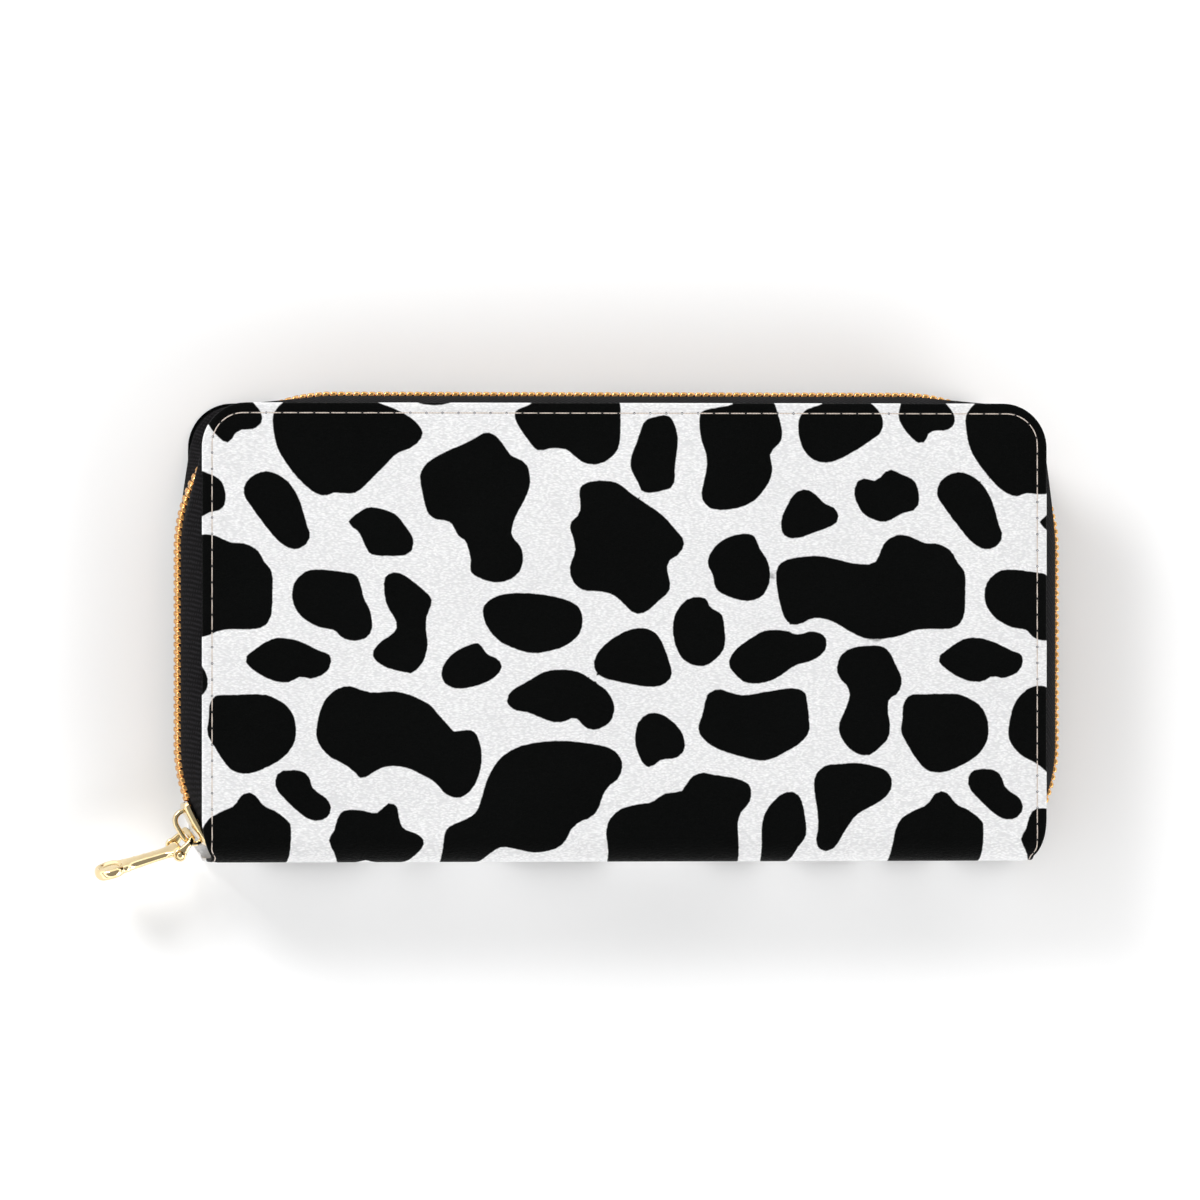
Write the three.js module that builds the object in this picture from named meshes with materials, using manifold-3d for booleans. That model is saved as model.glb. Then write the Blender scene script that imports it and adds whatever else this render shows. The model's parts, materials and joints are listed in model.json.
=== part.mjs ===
// A zip around wallet: two padded covers joined by a leather spine, with a metal zip
// round the other three sides, card slots on each cover and a zipped coin pocket between.
// Millimetres. It lies on its back cover: +X along its length, +Y from the spine to the
// top edge, +Z through its thickness. The origin is the middle of the back cover's outer face.
import * as THREE from "three";
import { mergeVertices } from "three/addons/utils/BufferGeometryUtils.js";
import Module from "manifold-3d";

const wasm = await Module();
wasm.setup();

// ---- driving dimensions -------------------------------------------------------------
const COVER_LENGTH = 191;
const COVER_TOP = 51;
const SPINE_Y = -51.5;
const THICKNESS = 25;
const COVER_CORNER = 10;
const SPINE_RADIUS = 6;
const SPINE_NARROWING = 2.4;
const NARROWING_HEIGHT = 10;

const LEATHER = 0.9;
const BOARD = 0.8;
const LINING = 0.4;
const LEAF = 0.3;
const TAPE = 0.6;
const GAP = 0.3;

const ZIP_SIDE_BULGE = 3.3;
const ZIP_TOP_BULGE = 1.3;
const ZIP_TOP_RADIUS = 34;
const ZIP_END_RADIUS = 34;
const ZIP_END_Y = -25.4;
const ZIP_END_TILT = 43;
const TOOTH_PITCH = 0.86;
const TOOTH_WIDTH = 0.7;
const TOOTH_REACH = 1.1;
const TOOTH_THICKNESS = 2.5;
const BEAD_WIDTH = 1.2;
const CHANNEL_PLAY = 0.1;
const TAPE_FLANGE = 4.8;
const FLANGE_INSET = 0.7;
const BOARD_INSET = 6.2;
const LINING_INSET = 2.8;

const CARD_LEAVES = 4;
const CARD_STEP = 10;
const CARD_TOP = 30;

const SLIDER_TILT = 30;
const SLIDER_LENGTH = 10.5;
const SLIDER_HALF_WIDTH = 4.6;
const SLIDER_WALL = 0.95;
const BAIL_HEIGHT = 3.3;
const BAIL_LENGTH = 8;
const BAIL_BAND = 0.8;
const BAIL_WIDTH = 2.6;
const SHACKLE_REACH = 4.6;
const SHACKLE_HALF_WIDTH = 4.2;
const SHACKLE_BAND = 1.3;
const PIN_RADIUS = 0.65;
const PIN_CLEARANCE = 0.15;
const PIN_HEAD = 0.5;
const PIN_HEAD_RADIUS = 1.05;
const EYE_RADIUS = 1.5;
const PULL_LENGTH = 19;
const BARREL_RADIUS = 1.4;
const NECK_HALF_WIDTH = 2.2;
const NECK_HALF_THICKNESS = 0.95;
const PADDLE_RADIUS = 3.75;
const PADDLE_THICKNESS = 2.8;
const DISH_RADIUS = 2.6;

const POCKET_SIDE_ROOM = 11.5;
const POCKET_BOTTOM = -47;
const POCKET_TOP = 36;
const POCKET_DEPTH = 4.8;
const POCKET_WALL = 0.8;
const COIN_ZIP_RISE = 1.4;
const COIN_SLIDER_INSET = 8.5;
const COIN_SLIDER_HALF_LENGTH = 3.5;
const COIN_PLATE_LOW = 0.9;
const COIN_PLATE_HIGH = 1.5;
const COIN_PULL_LENGTH = 8;
const COIN_PULL_HALF_WIDTH = 2.2;
const COIN_PULL_HALF_THICKNESS = 0.4;
const COIN_EYE_HALF_WIDTH = 1.2;
const COIN_EYE_LENGTH = 3.3;
const COIN_BAR_RISE = 2.25;
const COIN_STOP_INSET = 2.6;
const GUSSET = 0.5;
const GUSSET_LOW = -33;
const GUSSET_HIGH = 36;

// ---- sizes that follow from them -----------------------------------------------------
const HALF_LENGTH = COVER_LENGTH / 2;
const POCKET_HALF_LENGTH = HALF_LENGTH - POCKET_SIDE_ROOM;
const MID_Z = THICKNESS / 2;
const LINING_DEPTH = LEATHER + GAP + BOARD + GAP;
const LEAF_DEPTH = LINING_DEPTH + LINING + GAP;
const LEAF_STEP = LEAF + GAP;
const TAPE_DEPTH = LEATHER + GAP + TAPE / 2;
const ZIP_SIDE_X = HALF_LENGTH + ZIP_SIDE_BULGE;
const ZIP_TOP_Y = COVER_TOP + ZIP_TOP_BULGE;
const BEAD_INNER = TOOTH_REACH + GAP;
const BEAD_OUTER = BEAD_INNER + BEAD_WIDTH;
const TAPE_START = BEAD_OUTER + GAP;
const TAPE_BULGE = 1.45;
const degrees = THREE.MathUtils.degToRad;

// ---- solids --------------------------------------------------------------------------

// A closed solid from triangles' corner indices, with its faces pointing out.
function solidFrom(points, faces) {
  let volume = 0;
  for (const [a, b, c] of faces) {
    volume += points[a].dot(new THREE.Vector3().crossVectors(points[b], points[c]));
  }
  const outward = volume > 0 ? faces : faces.map(([a, b, c]) => [a, c, b]);
  const geometry = new THREE.BufferGeometry();
  geometry.setAttribute(
    "position",
    new THREE.Float32BufferAttribute(points.flatMap((p) => p.toArray()), 3),
  );
  geometry.setIndex(outward.flat());
  return geometry;
}

// The triangles that fill one flat ring of points.
function capFaces(ring, first) {
  const normal = new THREE.Vector3();
  ring.forEach((p, i) => normal.add(p.clone().cross(ring[(i + 1) % ring.length])));
  normal.normalize();
  const across = new THREE.Vector3().subVectors(ring[1], ring[0]).normalize();
  const up = new THREE.Vector3().crossVectors(normal, across);
  const flat = ring.map((p) => new THREE.Vector2(p.dot(across), p.dot(up)));
  return THREE.ShapeUtils.triangulateShape(flat, []).map((f) => f.map((i) => i + first));
}

// A closed solid through rings of points, each with as many points as the next.
function loft(rings) {
  const count = rings[0].length;
  const points = rings.flat();
  const faces = [];
  for (let r = 0; r + 1 < rings.length; r++) {
    for (let i = 0; i < count; i++) {
      const a = r * count + i;
      const b = r * count + ((i + 1) % count);
      faces.push([a, b, b + count], [a, b + count, a + count]);
    }
  }
  const last = (rings.length - 1) * count;
  for (const [a, b, c] of capFaces(rings[0], 0)) faces.push([a, c, b]);
  faces.push(...capFaces(rings[rings.length - 1], last));
  return solidFrom(points, faces);
}

// A plate of a given outline between two heights.
function plate(shape, low, high, curveSegments = 6) {
  const geometry = new THREE.ExtrudeGeometry(shape, {
    depth: high - low,
    bevelEnabled: false,
    curveSegments,
  });
  return geometry.translate(0, 0, low);
}

function roundedRectangle(left, right, bottom, top, lowerRadius, upperRadius = lowerRadius) {
  const shape = new THREE.Shape();
  shape.moveTo(left + lowerRadius, bottom);
  shape.lineTo(right - lowerRadius, bottom);
  shape.absarc(right - lowerRadius, bottom + lowerRadius, lowerRadius, -Math.PI / 2, 0);
  shape.lineTo(right, top - upperRadius);
  shape.absarc(right - upperRadius, top - upperRadius, upperRadius, 0, Math.PI / 2);
  shape.lineTo(left + upperRadius, top);
  shape.absarc(left + upperRadius, top - upperRadius, upperRadius, Math.PI / 2, Math.PI);
  shape.lineTo(left, bottom + lowerRadius);
  shape.absarc(left + lowerRadius, bottom + lowerRadius, lowerRadius, Math.PI, 1.5 * Math.PI);
  return shape;
}

function toManifold(geometry) {
  const bare = geometry.clone();
  bare.deleteAttribute("normal");
  bare.deleteAttribute("uv");
  const merged = mergeVertices(bare, 1e-4);
  return new wasm.Manifold(
    new wasm.Mesh({
      numProp: 3,
      vertProperties: new Float32Array(merged.attributes.position.array),
      triVerts: new Uint32Array(merged.index.array),
    }),
  );
}

function fromManifold(solid) {
  const mesh = solid.getMesh();
  const geometry = new THREE.BufferGeometry();
  geometry.setAttribute("position", new THREE.BufferAttribute(mesh.vertProperties, 3));
  geometry.setIndex(new THREE.BufferAttribute(mesh.triVerts, 1));
  return geometry;
}

function join(geometries) {
  return fromManifold(geometries.map(toManifold).reduce((a, b) => a.add(b)));
}

function cut(geometry, tools) {
  return fromManifold(tools.map(toManifold).reduce((a, b) => a.subtract(b), toManifold(geometry)));
}

// A front piece is the mirror image of the back one in the wallet's middle plane.
function mirrored(geometry) {
  const points = [];
  const position = geometry.attributes.position;
  for (let i = 0; i < position.count; i++) {
    points.push(
      new THREE.Vector3(position.getX(i), position.getY(i), THICKNESS - position.getZ(i)),
    );
  }
  const order = geometry.index ? Array.from(geometry.index.array) : points.map((_, i) => i);
  const faces = [];
  for (let i = 0; i < order.length; i += 3) faces.push(order.slice(i, i + 3));
  return solidFrom(points, faces);
}

// ---- covers --------------------------------------------------------------------------

// Half the cover's width at a height y, with its edges drawn in by inset.
function halfWidth(y, inset) {
  const radius = COVER_CORNER - inset;
  const corner = COVER_TOP - COVER_CORNER;
  const low = THREE.MathUtils.clamp((SPINE_Y + NARROWING_HEIGHT - y) / NARROWING_HEIGHT, 0, 1);
  const narrowing = SPINE_NARROWING * low * low;
  if (y <= corner) return HALF_LENGTH - inset - narrowing;
  const rise = Math.min(y - corner, radius);
  return HALF_LENGTH - COVER_CORNER + Math.sqrt(radius * radius - rise * rise);
}

// A sheet that wraps the back cover from the middle of the spine to the top edge.
// outer and inner are its depths on the cover, spineOuter and spineInner on the spine.
function coverSheet({ outer, inner, spineOuter, spineInner, inset, lowInset, seam }) {
  const stations = [];
  const arcSteps = 6;
  for (let i = 0; i <= arcSteps; i++) {
    const angle = (Math.PI / 2) * (i / arcSteps);
    const along = [spineOuter, spineInner].map(
      (d) => SPINE_Y + SPINE_RADIUS - (SPINE_RADIUS - d) * Math.cos(angle),
    );
    const deep = [outer, inner].map(
      (d) => SPINE_RADIUS - (SPINE_RADIUS - d) * Math.sin(angle),
    );
    stations.push({ y: along, z: deep, width: halfWidth(along[0], lowInset) });
  }
  const middle = { ...stations[0], z: [MID_Z - seam, MID_Z - seam] };
  const corner = COVER_TOP - COVER_CORNER;
  const radius = COVER_CORNER - inset;
  const flat = [SPINE_Y + 9, SPINE_Y + 12, SPINE_Y + 15, SPINE_Y + 22, corner];
  const round = [22, 42, 60, 75, 90].map((a) => corner + radius * Math.sin(degrees(a)));
  for (const y of [...flat, ...round]) {
    const blend = THREE.MathUtils.smoothstep(y, SPINE_Y + 9, SPINE_Y + 22);
    const drawn = THREE.MathUtils.lerp(lowInset, inset, blend);
    stations.push({ y: [y, y], z: [outer, inner], width: halfWidth(y, drawn) });
  }
  const rings = [middle, ...stations].map(({ y, z, width }) => [
    new THREE.Vector3(-width, y[0], z[0]),
    new THREE.Vector3(width, y[0], z[0]),
    new THREE.Vector3(width, y[1], z[1]),
    new THREE.Vector3(-width, y[1], z[1]),
  ]);
  return loft(rings);
}

function coverSkin() {
  return coverSheet({
    outer: 0,
    inner: LEATHER,
    spineOuter: 0,
    spineInner: LEATHER,
    inset: 0,
    lowInset: 0,
    seam: GAP / 2,
  });
}

function coverLining() {
  const spineDepth = LEATHER + GAP;
  return coverSheet({
    outer: LINING_DEPTH,
    inner: LINING_DEPTH + LINING,
    spineOuter: spineDepth,
    spineInner: spineDepth + LINING,
    inset: LINING_INSET,
    lowInset: BOARD_INSET,
    seam: GAP,
  });
}

function coverBoard() {
  const outline = roundedRectangle(
    -HALF_LENGTH + BOARD_INSET,
    HALF_LENGTH - BOARD_INSET,
    SPINE_Y + SPINE_RADIUS + 1,
    COVER_TOP - BOARD_INSET,
    2,
    COVER_CORNER - BOARD_INSET + 1,
  );
  return plate(outline, LEATHER + GAP, LEATHER + GAP + BOARD, 4);
}

// One leaf of the stepped card slots: each lies on the last and ends lower.
function cardLeaf(number) {
  const low = LEAF_DEPTH + LEAF_STEP * number;
  const reach = HALF_LENGTH - BOARD_INSET - 4;
  const outline = roundedRectangle(-reach, reach, -42, CARD_TOP - CARD_STEP * number, 1.5);
  return plate(outline, low, low + LEAF, 3);
}

// ---- zip round the edge --------------------------------------------------------------

// The left half of the zip's path, from its end by the spine to the middle of the top.
// Each stretch gives, at a share f of its length, the point on the path, the outward
// direction, the cover's edge beside it and the way into the cover.
const cornerX = -ZIP_SIDE_X + ZIP_TOP_RADIUS;
const cornerY = ZIP_TOP_Y - ZIP_TOP_RADIUS;
const endX = -ZIP_SIDE_X + ZIP_END_RADIUS;
const coverCornerX = -HALF_LENGTH + COVER_CORNER;
const coverCornerY = COVER_TOP - COVER_CORNER;
const flangeEndY = SPINE_Y + 8;

function onArc(x, y, radius, angle) {
  return new THREE.Vector2(x + radius * Math.cos(angle), y + radius * Math.sin(angle));
}

const stretches = [
  {
    length: ZIP_END_RADIUS * degrees(ZIP_END_TILT),
    steps: 7,
    at(f) {
      const angle = Math.PI + degrees(ZIP_END_TILT) * (1 - f);
      const y = THREE.MathUtils.lerp(flangeEndY, ZIP_END_Y, f);
      return {
        point: onArc(endX, ZIP_END_Y, ZIP_END_RADIUS, angle),
        out: onArc(0, 0, 1, angle),
        edge: new THREE.Vector2(-halfWidth(y, 0), y),
        into: new THREE.Vector2(1, 0),
      };
    },
  },
  {
    length: cornerY - ZIP_END_Y,
    steps: 3,
    at(f) {
      const y = THREE.MathUtils.lerp(ZIP_END_Y, coverCornerY, f);
      return {
        point: new THREE.Vector2(-ZIP_SIDE_X, THREE.MathUtils.lerp(ZIP_END_Y, cornerY, f)),
        out: new THREE.Vector2(-1, 0),
        edge: new THREE.Vector2(-HALF_LENGTH, y),
        into: new THREE.Vector2(1, 0),
      };
    },
  },
  {
    length: (ZIP_TOP_RADIUS * Math.PI) / 2,
    steps: 9,
    at(f) {
      const angle = Math.PI - (Math.PI / 2) * f;
      return {
        point: onArc(cornerX, cornerY, ZIP_TOP_RADIUS, angle),
        out: onArc(0, 0, 1, angle),
        edge: onArc(coverCornerX, coverCornerY, COVER_CORNER, angle),
        into: onArc(0, 0, -1, angle),
      };
    },
  },
  {
    length: -cornerX,
    steps: 3,
    at(f) {
      return {
        point: new THREE.Vector2(THREE.MathUtils.lerp(cornerX, 0, f), ZIP_TOP_Y),
        out: new THREE.Vector2(0, 1),
        edge: new THREE.Vector2(THREE.MathUtils.lerp(coverCornerX, 0, f), COVER_TOP),
        into: new THREE.Vector2(0, -1),
      };
    },
  },
];
const halfZip = stretches.reduce((sum, s) => sum + s.length, 0);

function flipped({ point, out, edge, into }) {
  const mirror = (v) => new THREE.Vector2(-v.x, v.y);
  return { point: mirror(point), out: mirror(out), edge: mirror(edge), into: mirror(into) };
}

// The zip's path at a distance from its left-hand end.
function zipAt(distance) {
  if (distance > halfZip) return flipped(zipAt(2 * halfZip - distance));
  let left = distance;
  for (const stretch of stretches) {
    if (left <= stretch.length || stretch === stretches[stretches.length - 1]) {
      return stretch.at(left / stretch.length);
    }
    left -= stretch.length;
  }
}

function zipStations() {
  const half = [];
  let start = 0;
  for (const { length, steps } of stretches) {
    for (let i = half.length ? 1 : 0; i <= steps; i++) half.push(start + (length * i) / steps);
    start += length;
  }
  return [...half, ...half.slice(0, -1).reverse().map((d) => 2 * halfZip - d)];
}

// A point beside the zip: out from the path, and rise from the middle plane to the back.
function beside(place, out, rise) {
  const p = place.point.clone().addScaledVector(place.out, out);
  return new THREE.Vector3(p.x, p.y, MID_Z - rise);
}

// The back tape: it leans from the teeth to the cover, then lies flat under the leather.
function zipTape() {
  const half = TAPE / 2;
  const flangeRise = MID_Z - TAPE_DEPTH;
  const height = flangeRise - TAPE_START;
  const rings = zipStations().map((distance) => {
    const { point, out, edge, into } = zipAt(distance);
    const start = edge.clone().addScaledVector(into, FLANGE_INSET);
    const finish = edge.clone().addScaledVector(into, FLANGE_INSET + TAPE_FLANGE - GAP);
    const lean = Math.atan2(point.clone().sub(start).dot(out), height);
    const section = [0, 0.35, 0.7, 1].map((share) => {
      const place = point.clone().lerp(start, Math.pow(share, TAPE_BULGE));
      const mitre = share === 1 ? half / (1 + Math.sin(lean)) : half;
      const lift = share === 1 ? half : half * Math.sin(lean);
      return { place, offset: mitre * Math.cos(lean), lift, rise: TAPE_START + height * share };
    });
    const outside = section.map(
      ({ place, offset, lift, rise }) =>
        new THREE.Vector3(place.x + out.x * offset, place.y + out.y * offset, MID_Z - rise - lift),
    );
    const inside = section.map(
      ({ place, offset, lift, rise }) =>
        new THREE.Vector3(place.x - out.x * offset, place.y - out.y * offset, MID_Z - rise + lift),
    );
    outside.push(new THREE.Vector3(finish.x, finish.y, TAPE_DEPTH - half));
    inside.push(new THREE.Vector3(finish.x, finish.y, TAPE_DEPTH + half));
    return [...outside, ...inside.reverse()];
  });
  return loft(rings);
}

// One side's teeth with the bead cord that they are clamped on, as one comb.
// offset is the first tooth's place and start and finish are distances along the path.
function toothComb(offset, start, finish) {
  const half = TOOTH_THICKNESS / 2;
  const rows = [];
  for (let s = offset; s + TOOTH_WIDTH / 2 < finish; s += 2 * TOOTH_PITCH) {
    if (s - TOOTH_WIDTH / 2 > start) rows.push(s - TOOTH_WIDTH / 2, s + TOOTH_WIDTH / 2);
  }
  const points = [];
  for (const s of rows) {
    const place = zipAt(s);
    for (const rise of [BEAD_OUTER, BEAD_INNER, -TOOTH_REACH]) {
      points.push(beside(place, half, rise), beside(place, -half, rise));
    }
  }
  const faces = [];
  const quad = (a, b, c, d) => faces.push([a, b, c], [a, c, d]);
  const ends = (i) => [0, 1, 2, 3, 4, 5].map((k) => i * 6 + k);
  for (let i = 0; i < rows.length; i++) {
    const [b0, b1, n0, n1, t0, t1] = ends(i);
    const tooth = i % 2 === 0;
    if (i === 0) quad(b0, b1, n1, n0);
    if (i === rows.length - 1) quad(b0, n0, n1, b1);
    if (tooth) quad(n0, n1, t1, t0);
    else quad(n0, t0, t1, n1);
    if (i === rows.length - 1) continue;
    const [c0, c1, m0, m1, u0, u1] = ends(i + 1);
    quad(b0, n0, m0, c0);
    quad(b1, c1, m1, n1);
    quad(b0, c0, c1, b1);
    if (tooth) {
      quad(n0, t0, u0, m0);
      quad(n1, m1, u1, t1);
      quad(t0, t1, u1, u0);
    } else {
      quad(n0, n1, m1, m0);
    }
  }
  return solidFrom(points, faces);
}

// A block on the zip's path: between two distances, two outward offsets and two rises.
function zipBlock(from, to, out, rise) {
  const rings = [from, to].map((distance) => {
    const place = zipAt(distance);
    return [
      beside(place, out[0], rise[0]),
      beside(place, out[1], rise[0]),
      beside(place, out[1], rise[1]),
      beside(place, out[0], rise[1]),
    ];
  });
  return loft(rings);
}

// ---- slider and pull -----------------------------------------------------------------
const sliderMiddle = ZIP_END_RADIUS * degrees(ZIP_END_TILT - SLIDER_TILT);
const sliderLow = sliderMiddle - SLIDER_LENGTH / 2;
const sliderHigh = sliderMiddle + SLIDER_LENGTH / 2;
const channel = TOOTH_THICKNESS / 2 + CHANNEL_PLAY;
const sliderTop = channel + SLIDER_WALL;

// A slider plate with its side lips, bent to the curve of the zip.
function sliderPlate(side, lip) {
  const steps = 5;
  const rings = [];
  for (let i = 0; i <= steps; i++) {
    const place = zipAt(sliderLow + (SLIDER_LENGTH * i) / steps);
    const edge = SLIDER_HALF_WIDTH - 0.7 * (i / steps);
    const wall = edge - 1;
    const section = [
      [lip, -edge], [sliderTop, -edge + 0.4], [sliderTop, edge - 0.4], [lip, edge],
      [lip, wall], [channel, wall], [channel, -wall], [lip, -wall],
    ];
    rings.push(section.map(([out, rise]) => beside(place, side * out, rise)));
  }
  return loft(rings);
}

// The arch on the slider's outer plate that the pull is linked to.
function sliderBail() {
  const place = zipAt(sliderMiddle);
  const foot = sliderTop - 0.3;
  const crown = sliderTop + BAIL_HEIGHT;
  const outer = roundedRectangle(-BAIL_LENGTH / 2, BAIL_LENGTH / 2, foot, crown, 0.1, 2.2);
  const reach = BAIL_LENGTH / 2 - BAIL_BAND;
  const eye = roundedRectangle(-reach, reach, foot - 0.6, crown - BAIL_BAND, 0.1, 1.5);
  const arch = cut(plate(outer, -BAIL_WIDTH / 2, BAIL_WIDTH / 2, 4), [
    plate(eye, -BAIL_WIDTH, BAIL_WIDTH, 4),
  ]);
  const along = new THREE.Vector3(place.out.y, -place.out.x, 0);
  const up = new THREE.Vector3(place.out.x, place.out.y, 0);
  const turn = new THREE.Matrix4().makeBasis(along, up, new THREE.Vector3().crossVectors(along, up));
  turn.setPosition(place.point.x, place.point.y, MID_Z);
  return arch.applyMatrix4(turn);
}

function sliderBody() {
  const post = zipBlock(sliderLow + 0.4, sliderLow + 2.6, [-channel - 0.3, channel + 0.3], [-0.55, 0.55]);
  return join([sliderPlate(1, 0.95), sliderPlate(-1, 0.75), post, sliderBail()]);
}

// The pull hangs on the bail: its shackle's bar lies along pullAxis, its arms run along
// shackleWay to the pin, and its tab along tabWay from there.
const pullAxis = new THREE.Vector3(0.08, -0.26, 0.962).normalize();
const bailPlace = zipAt(sliderMiddle - 1);
const barCentre = new THREE.Vector3(
  bailPlace.point.x + bailPlace.out.x * (sliderTop + 1.35),
  bailPlace.point.y + bailPlace.out.y * (sliderTop + 1.35),
  MID_Z,
);
const shackleWay = new THREE.Vector3(-0.6, -0.8, 0)
  .addScaledVector(pullAxis, -new THREE.Vector3(-0.6, -0.8, 0).dot(pullAxis))
  .normalize();
const pinCentre = barCentre.clone().addScaledVector(shackleWay, SHACKLE_REACH);
const tabWay = new THREE.Vector3(-0.956, -0.294, 0)
  .addScaledVector(pullAxis, -new THREE.Vector3(-0.956, -0.294, 0).dot(pullAxis))
  .normalize();

// Moves a shape drawn with x along way and y along the pull's axis to its place.
function onPull(geometry, origin, way) {
  const face = new THREE.Vector3().crossVectors(way, pullAxis);
  const turn = new THREE.Matrix4().makeBasis(way, pullAxis, face);
  turn.setPosition(origin);
  return geometry.applyMatrix4(turn);
}

// A bar along the pull's axis, round and straight, at a distance along way.
function pullBar(radius, low, high, sides = 12) {
  return new THREE.CylinderGeometry(radius, radius, high - low, sides).translate(
    0,
    (high + low) / 2,
    0,
  );
}

function pullShackle() {
  const half = SHACKLE_BAND / 2;
  const outside = SHACKLE_HALF_WIDTH + half;
  const outer = roundedRectangle(-half, SHACKLE_REACH, -outside, outside, 1.4, 1.4);
  const inside = SHACKLE_HALF_WIDTH - half;
  const inner = roundedRectangle(half, SHACKLE_REACH + 3, -inside, inside, 0.8, 0.8);
  const band = cut(plate(outer, -half, half, 4), [plate(inner, -2, 2, 4)]);
  const eyes = [-1, 1].map((side) => {
    const low = side < 0 ? -outside : inside;
    return pullBar(EYE_RADIUS, low, low + SHACKLE_BAND).translate(SHACKLE_REACH, 0, 0);
  });
  const hole = pullBar(PIN_RADIUS + PIN_CLEARANCE, -9, 9).translate(SHACKLE_REACH, 0, 0);
  return onPull(cut(join([band, ...eyes]), [hole]), barCentre, shackleWay);
}

function pullPin() {
  const reach = SHACKLE_HALF_WIDTH + SHACKLE_BAND / 2 + GAP;
  const pin = join([
    pullBar(PIN_RADIUS, -reach, reach),
    pullBar(PIN_HEAD_RADIUS, reach - 0.05, reach + PIN_HEAD),
    pullBar(PIN_HEAD_RADIUS, -reach - PIN_HEAD, -reach + 0.05),
  ]);
  return onPull(pin, pinCentre, tabWay);
}

// The tab: a barrel on the pin, a narrow neck and a round paddle with a dished face.
function pullTab() {
  const barrel = pullBar(BARREL_RADIUS, -3, 3, 16);
  const outline = roundedRectangle(0.6, PULL_LENGTH - 5, -NECK_HALF_WIDTH, NECK_HALF_WIDTH, 0.3);
  const neck = plate(outline, -NECK_HALF_THICKNESS, NECK_HALF_THICKNESS, 3);
  const paddle = new THREE.CylinderGeometry(PADDLE_RADIUS, PADDLE_RADIUS, PADDLE_THICKNESS, 24)
    .rotateX(Math.PI / 2)
    .translate(PULL_LENGTH - PADDLE_RADIUS, 0, 0);
  const dish = new THREE.CylinderGeometry(DISH_RADIUS, DISH_RADIUS, 2, 24)
    .rotateX(Math.PI / 2)
    .translate(PULL_LENGTH - PADDLE_RADIUS, 0, 1.8);
  const bore = pullBar(PIN_RADIUS + PIN_CLEARANCE, -9, 9);
  return onPull(cut(join([barrel, neck, paddle]), [bore, dish]), pinCentre, tabWay);
}

// ---- coin pocket ---------------------------------------------------------------------
const pocketLow = MID_Z - POCKET_DEPTH / 2;
const coinZipY = POCKET_TOP + COIN_ZIP_RISE;

function coinPanel() {
  const outline = roundedRectangle(
    -POCKET_HALF_LENGTH,
    POCKET_HALF_LENGTH,
    POCKET_BOTTOM,
    POCKET_TOP,
    4,
    1,
  );
  return plate(outline, pocketLow - LINING, pocketLow, 4);
}

// The wall round the pocket's two sides and bottom.
function coinBinding() {
  const wall = POCKET_WALL;
  const low = pocketLow + GAP;
  const high = THICKNESS - low;
  const [side, bottom] = [POCKET_HALF_LENGTH, POCKET_BOTTOM];
  const outer = roundedRectangle(-side, side, bottom, POCKET_TOP, 4, 0.1);
  const inner = roundedRectangle(-side + wall, side - wall, bottom + wall, POCKET_TOP + 9, 3.2, 0.1);
  return cut(plate(outer, low, high, 4), [plate(inner, low - 1, high + 1, 4)]);
}

// The pocket's back zip tape, and the coil along its edge.
function coinTape() {
  const side = POCKET_HALF_LENGTH - 1.2;
  return new THREE.BoxGeometry(2 * side, 0.5, 1.3).translate(0, coinZipY, pocketLow + 0.15);
}

function coinCoil() {
  const side = POCKET_HALF_LENGTH - 4;
  return new THREE.BoxGeometry(2 * side, 1.1, 0.9).translate(0, coinZipY, MID_Z - 0.85);
}

const coinSliderX = -POCKET_HALF_LENGTH + COIN_SLIDER_INSET;

function coinSlider() {
  const block = (x0, x1, y0, y1, half) =>
    new THREE.BoxGeometry(x1 - x0, y1 - y0, 2 * half).translate(
      coinSliderX + (x0 + x1) / 2,
      coinZipY + (y0 + y1) / 2,
      MID_Z,
    );
  const reach = COIN_SLIDER_HALF_LENGTH;
  const lower = block(-reach, reach, -COIN_PLATE_HIGH, -COIN_PLATE_LOW, 2);
  const upper = block(-reach, reach, COIN_PLATE_LOW, COIN_PLATE_HIGH, 2);
  const post = block(-reach, -reach + 0.9, -1.2, 1.2, 0.22);
  const bail = cut(block(-2.4, 2.4, 1.3, 3.4, 0.7), [block(-1.7, 1.7, 1, 2.8, 2)]);
  return join([lower, upper, post, bail]);
}

// A small flat pull with an eye round the coin slider's bail.
function coinPull() {
  const width = COIN_PULL_HALF_WIDTH;
  const outline = roundedRectangle(-1.2, COIN_PULL_LENGTH, -width, width, 1);
  const eye = roundedRectangle(-0.4, COIN_EYE_LENGTH, -COIN_EYE_HALF_WIDTH, COIN_EYE_HALF_WIDTH, 0.3);
  outline.holes.push(eye);
  const body = plate(outline, -COIN_PULL_HALF_THICKNESS, COIN_PULL_HALF_THICKNESS, 4);
  return body.rotateX(-Math.PI / 2).translate(coinSliderX, coinZipY + COIN_BAR_RISE, MID_Z);
}

function coinStop(side) {
  const x = side * (POCKET_HALF_LENGTH - COIN_STOP_INSET);
  return new THREE.BoxGeometry(1.6, 1.2, 2.2).translate(x, coinZipY + 0.9, MID_Z);
}

// ---- side gussets --------------------------------------------------------------------

// A pleated strip that joins a cover to the coin pocket at one end of the wallet.
function gusset(side) {
  const outer = HALF_LENGTH - 5.1;
  const inner = POCKET_HALF_LENGTH + 1.6;
  const fold = [[outer, LEAF_DEPTH + 0.1], [inner, 6.4], [outer, pocketLow - LINING - GAP]];
  const outline = [...fold, ...fold.map(([x, z]) => [x - GUSSET, z]).reverse()];
  const rings = [GUSSET_LOW, GUSSET_HIGH].map((y) =>
    outline.map(([x, z]) => new THREE.Vector3(side * x, y, z)),
  );
  return loft(rings);
}

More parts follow.
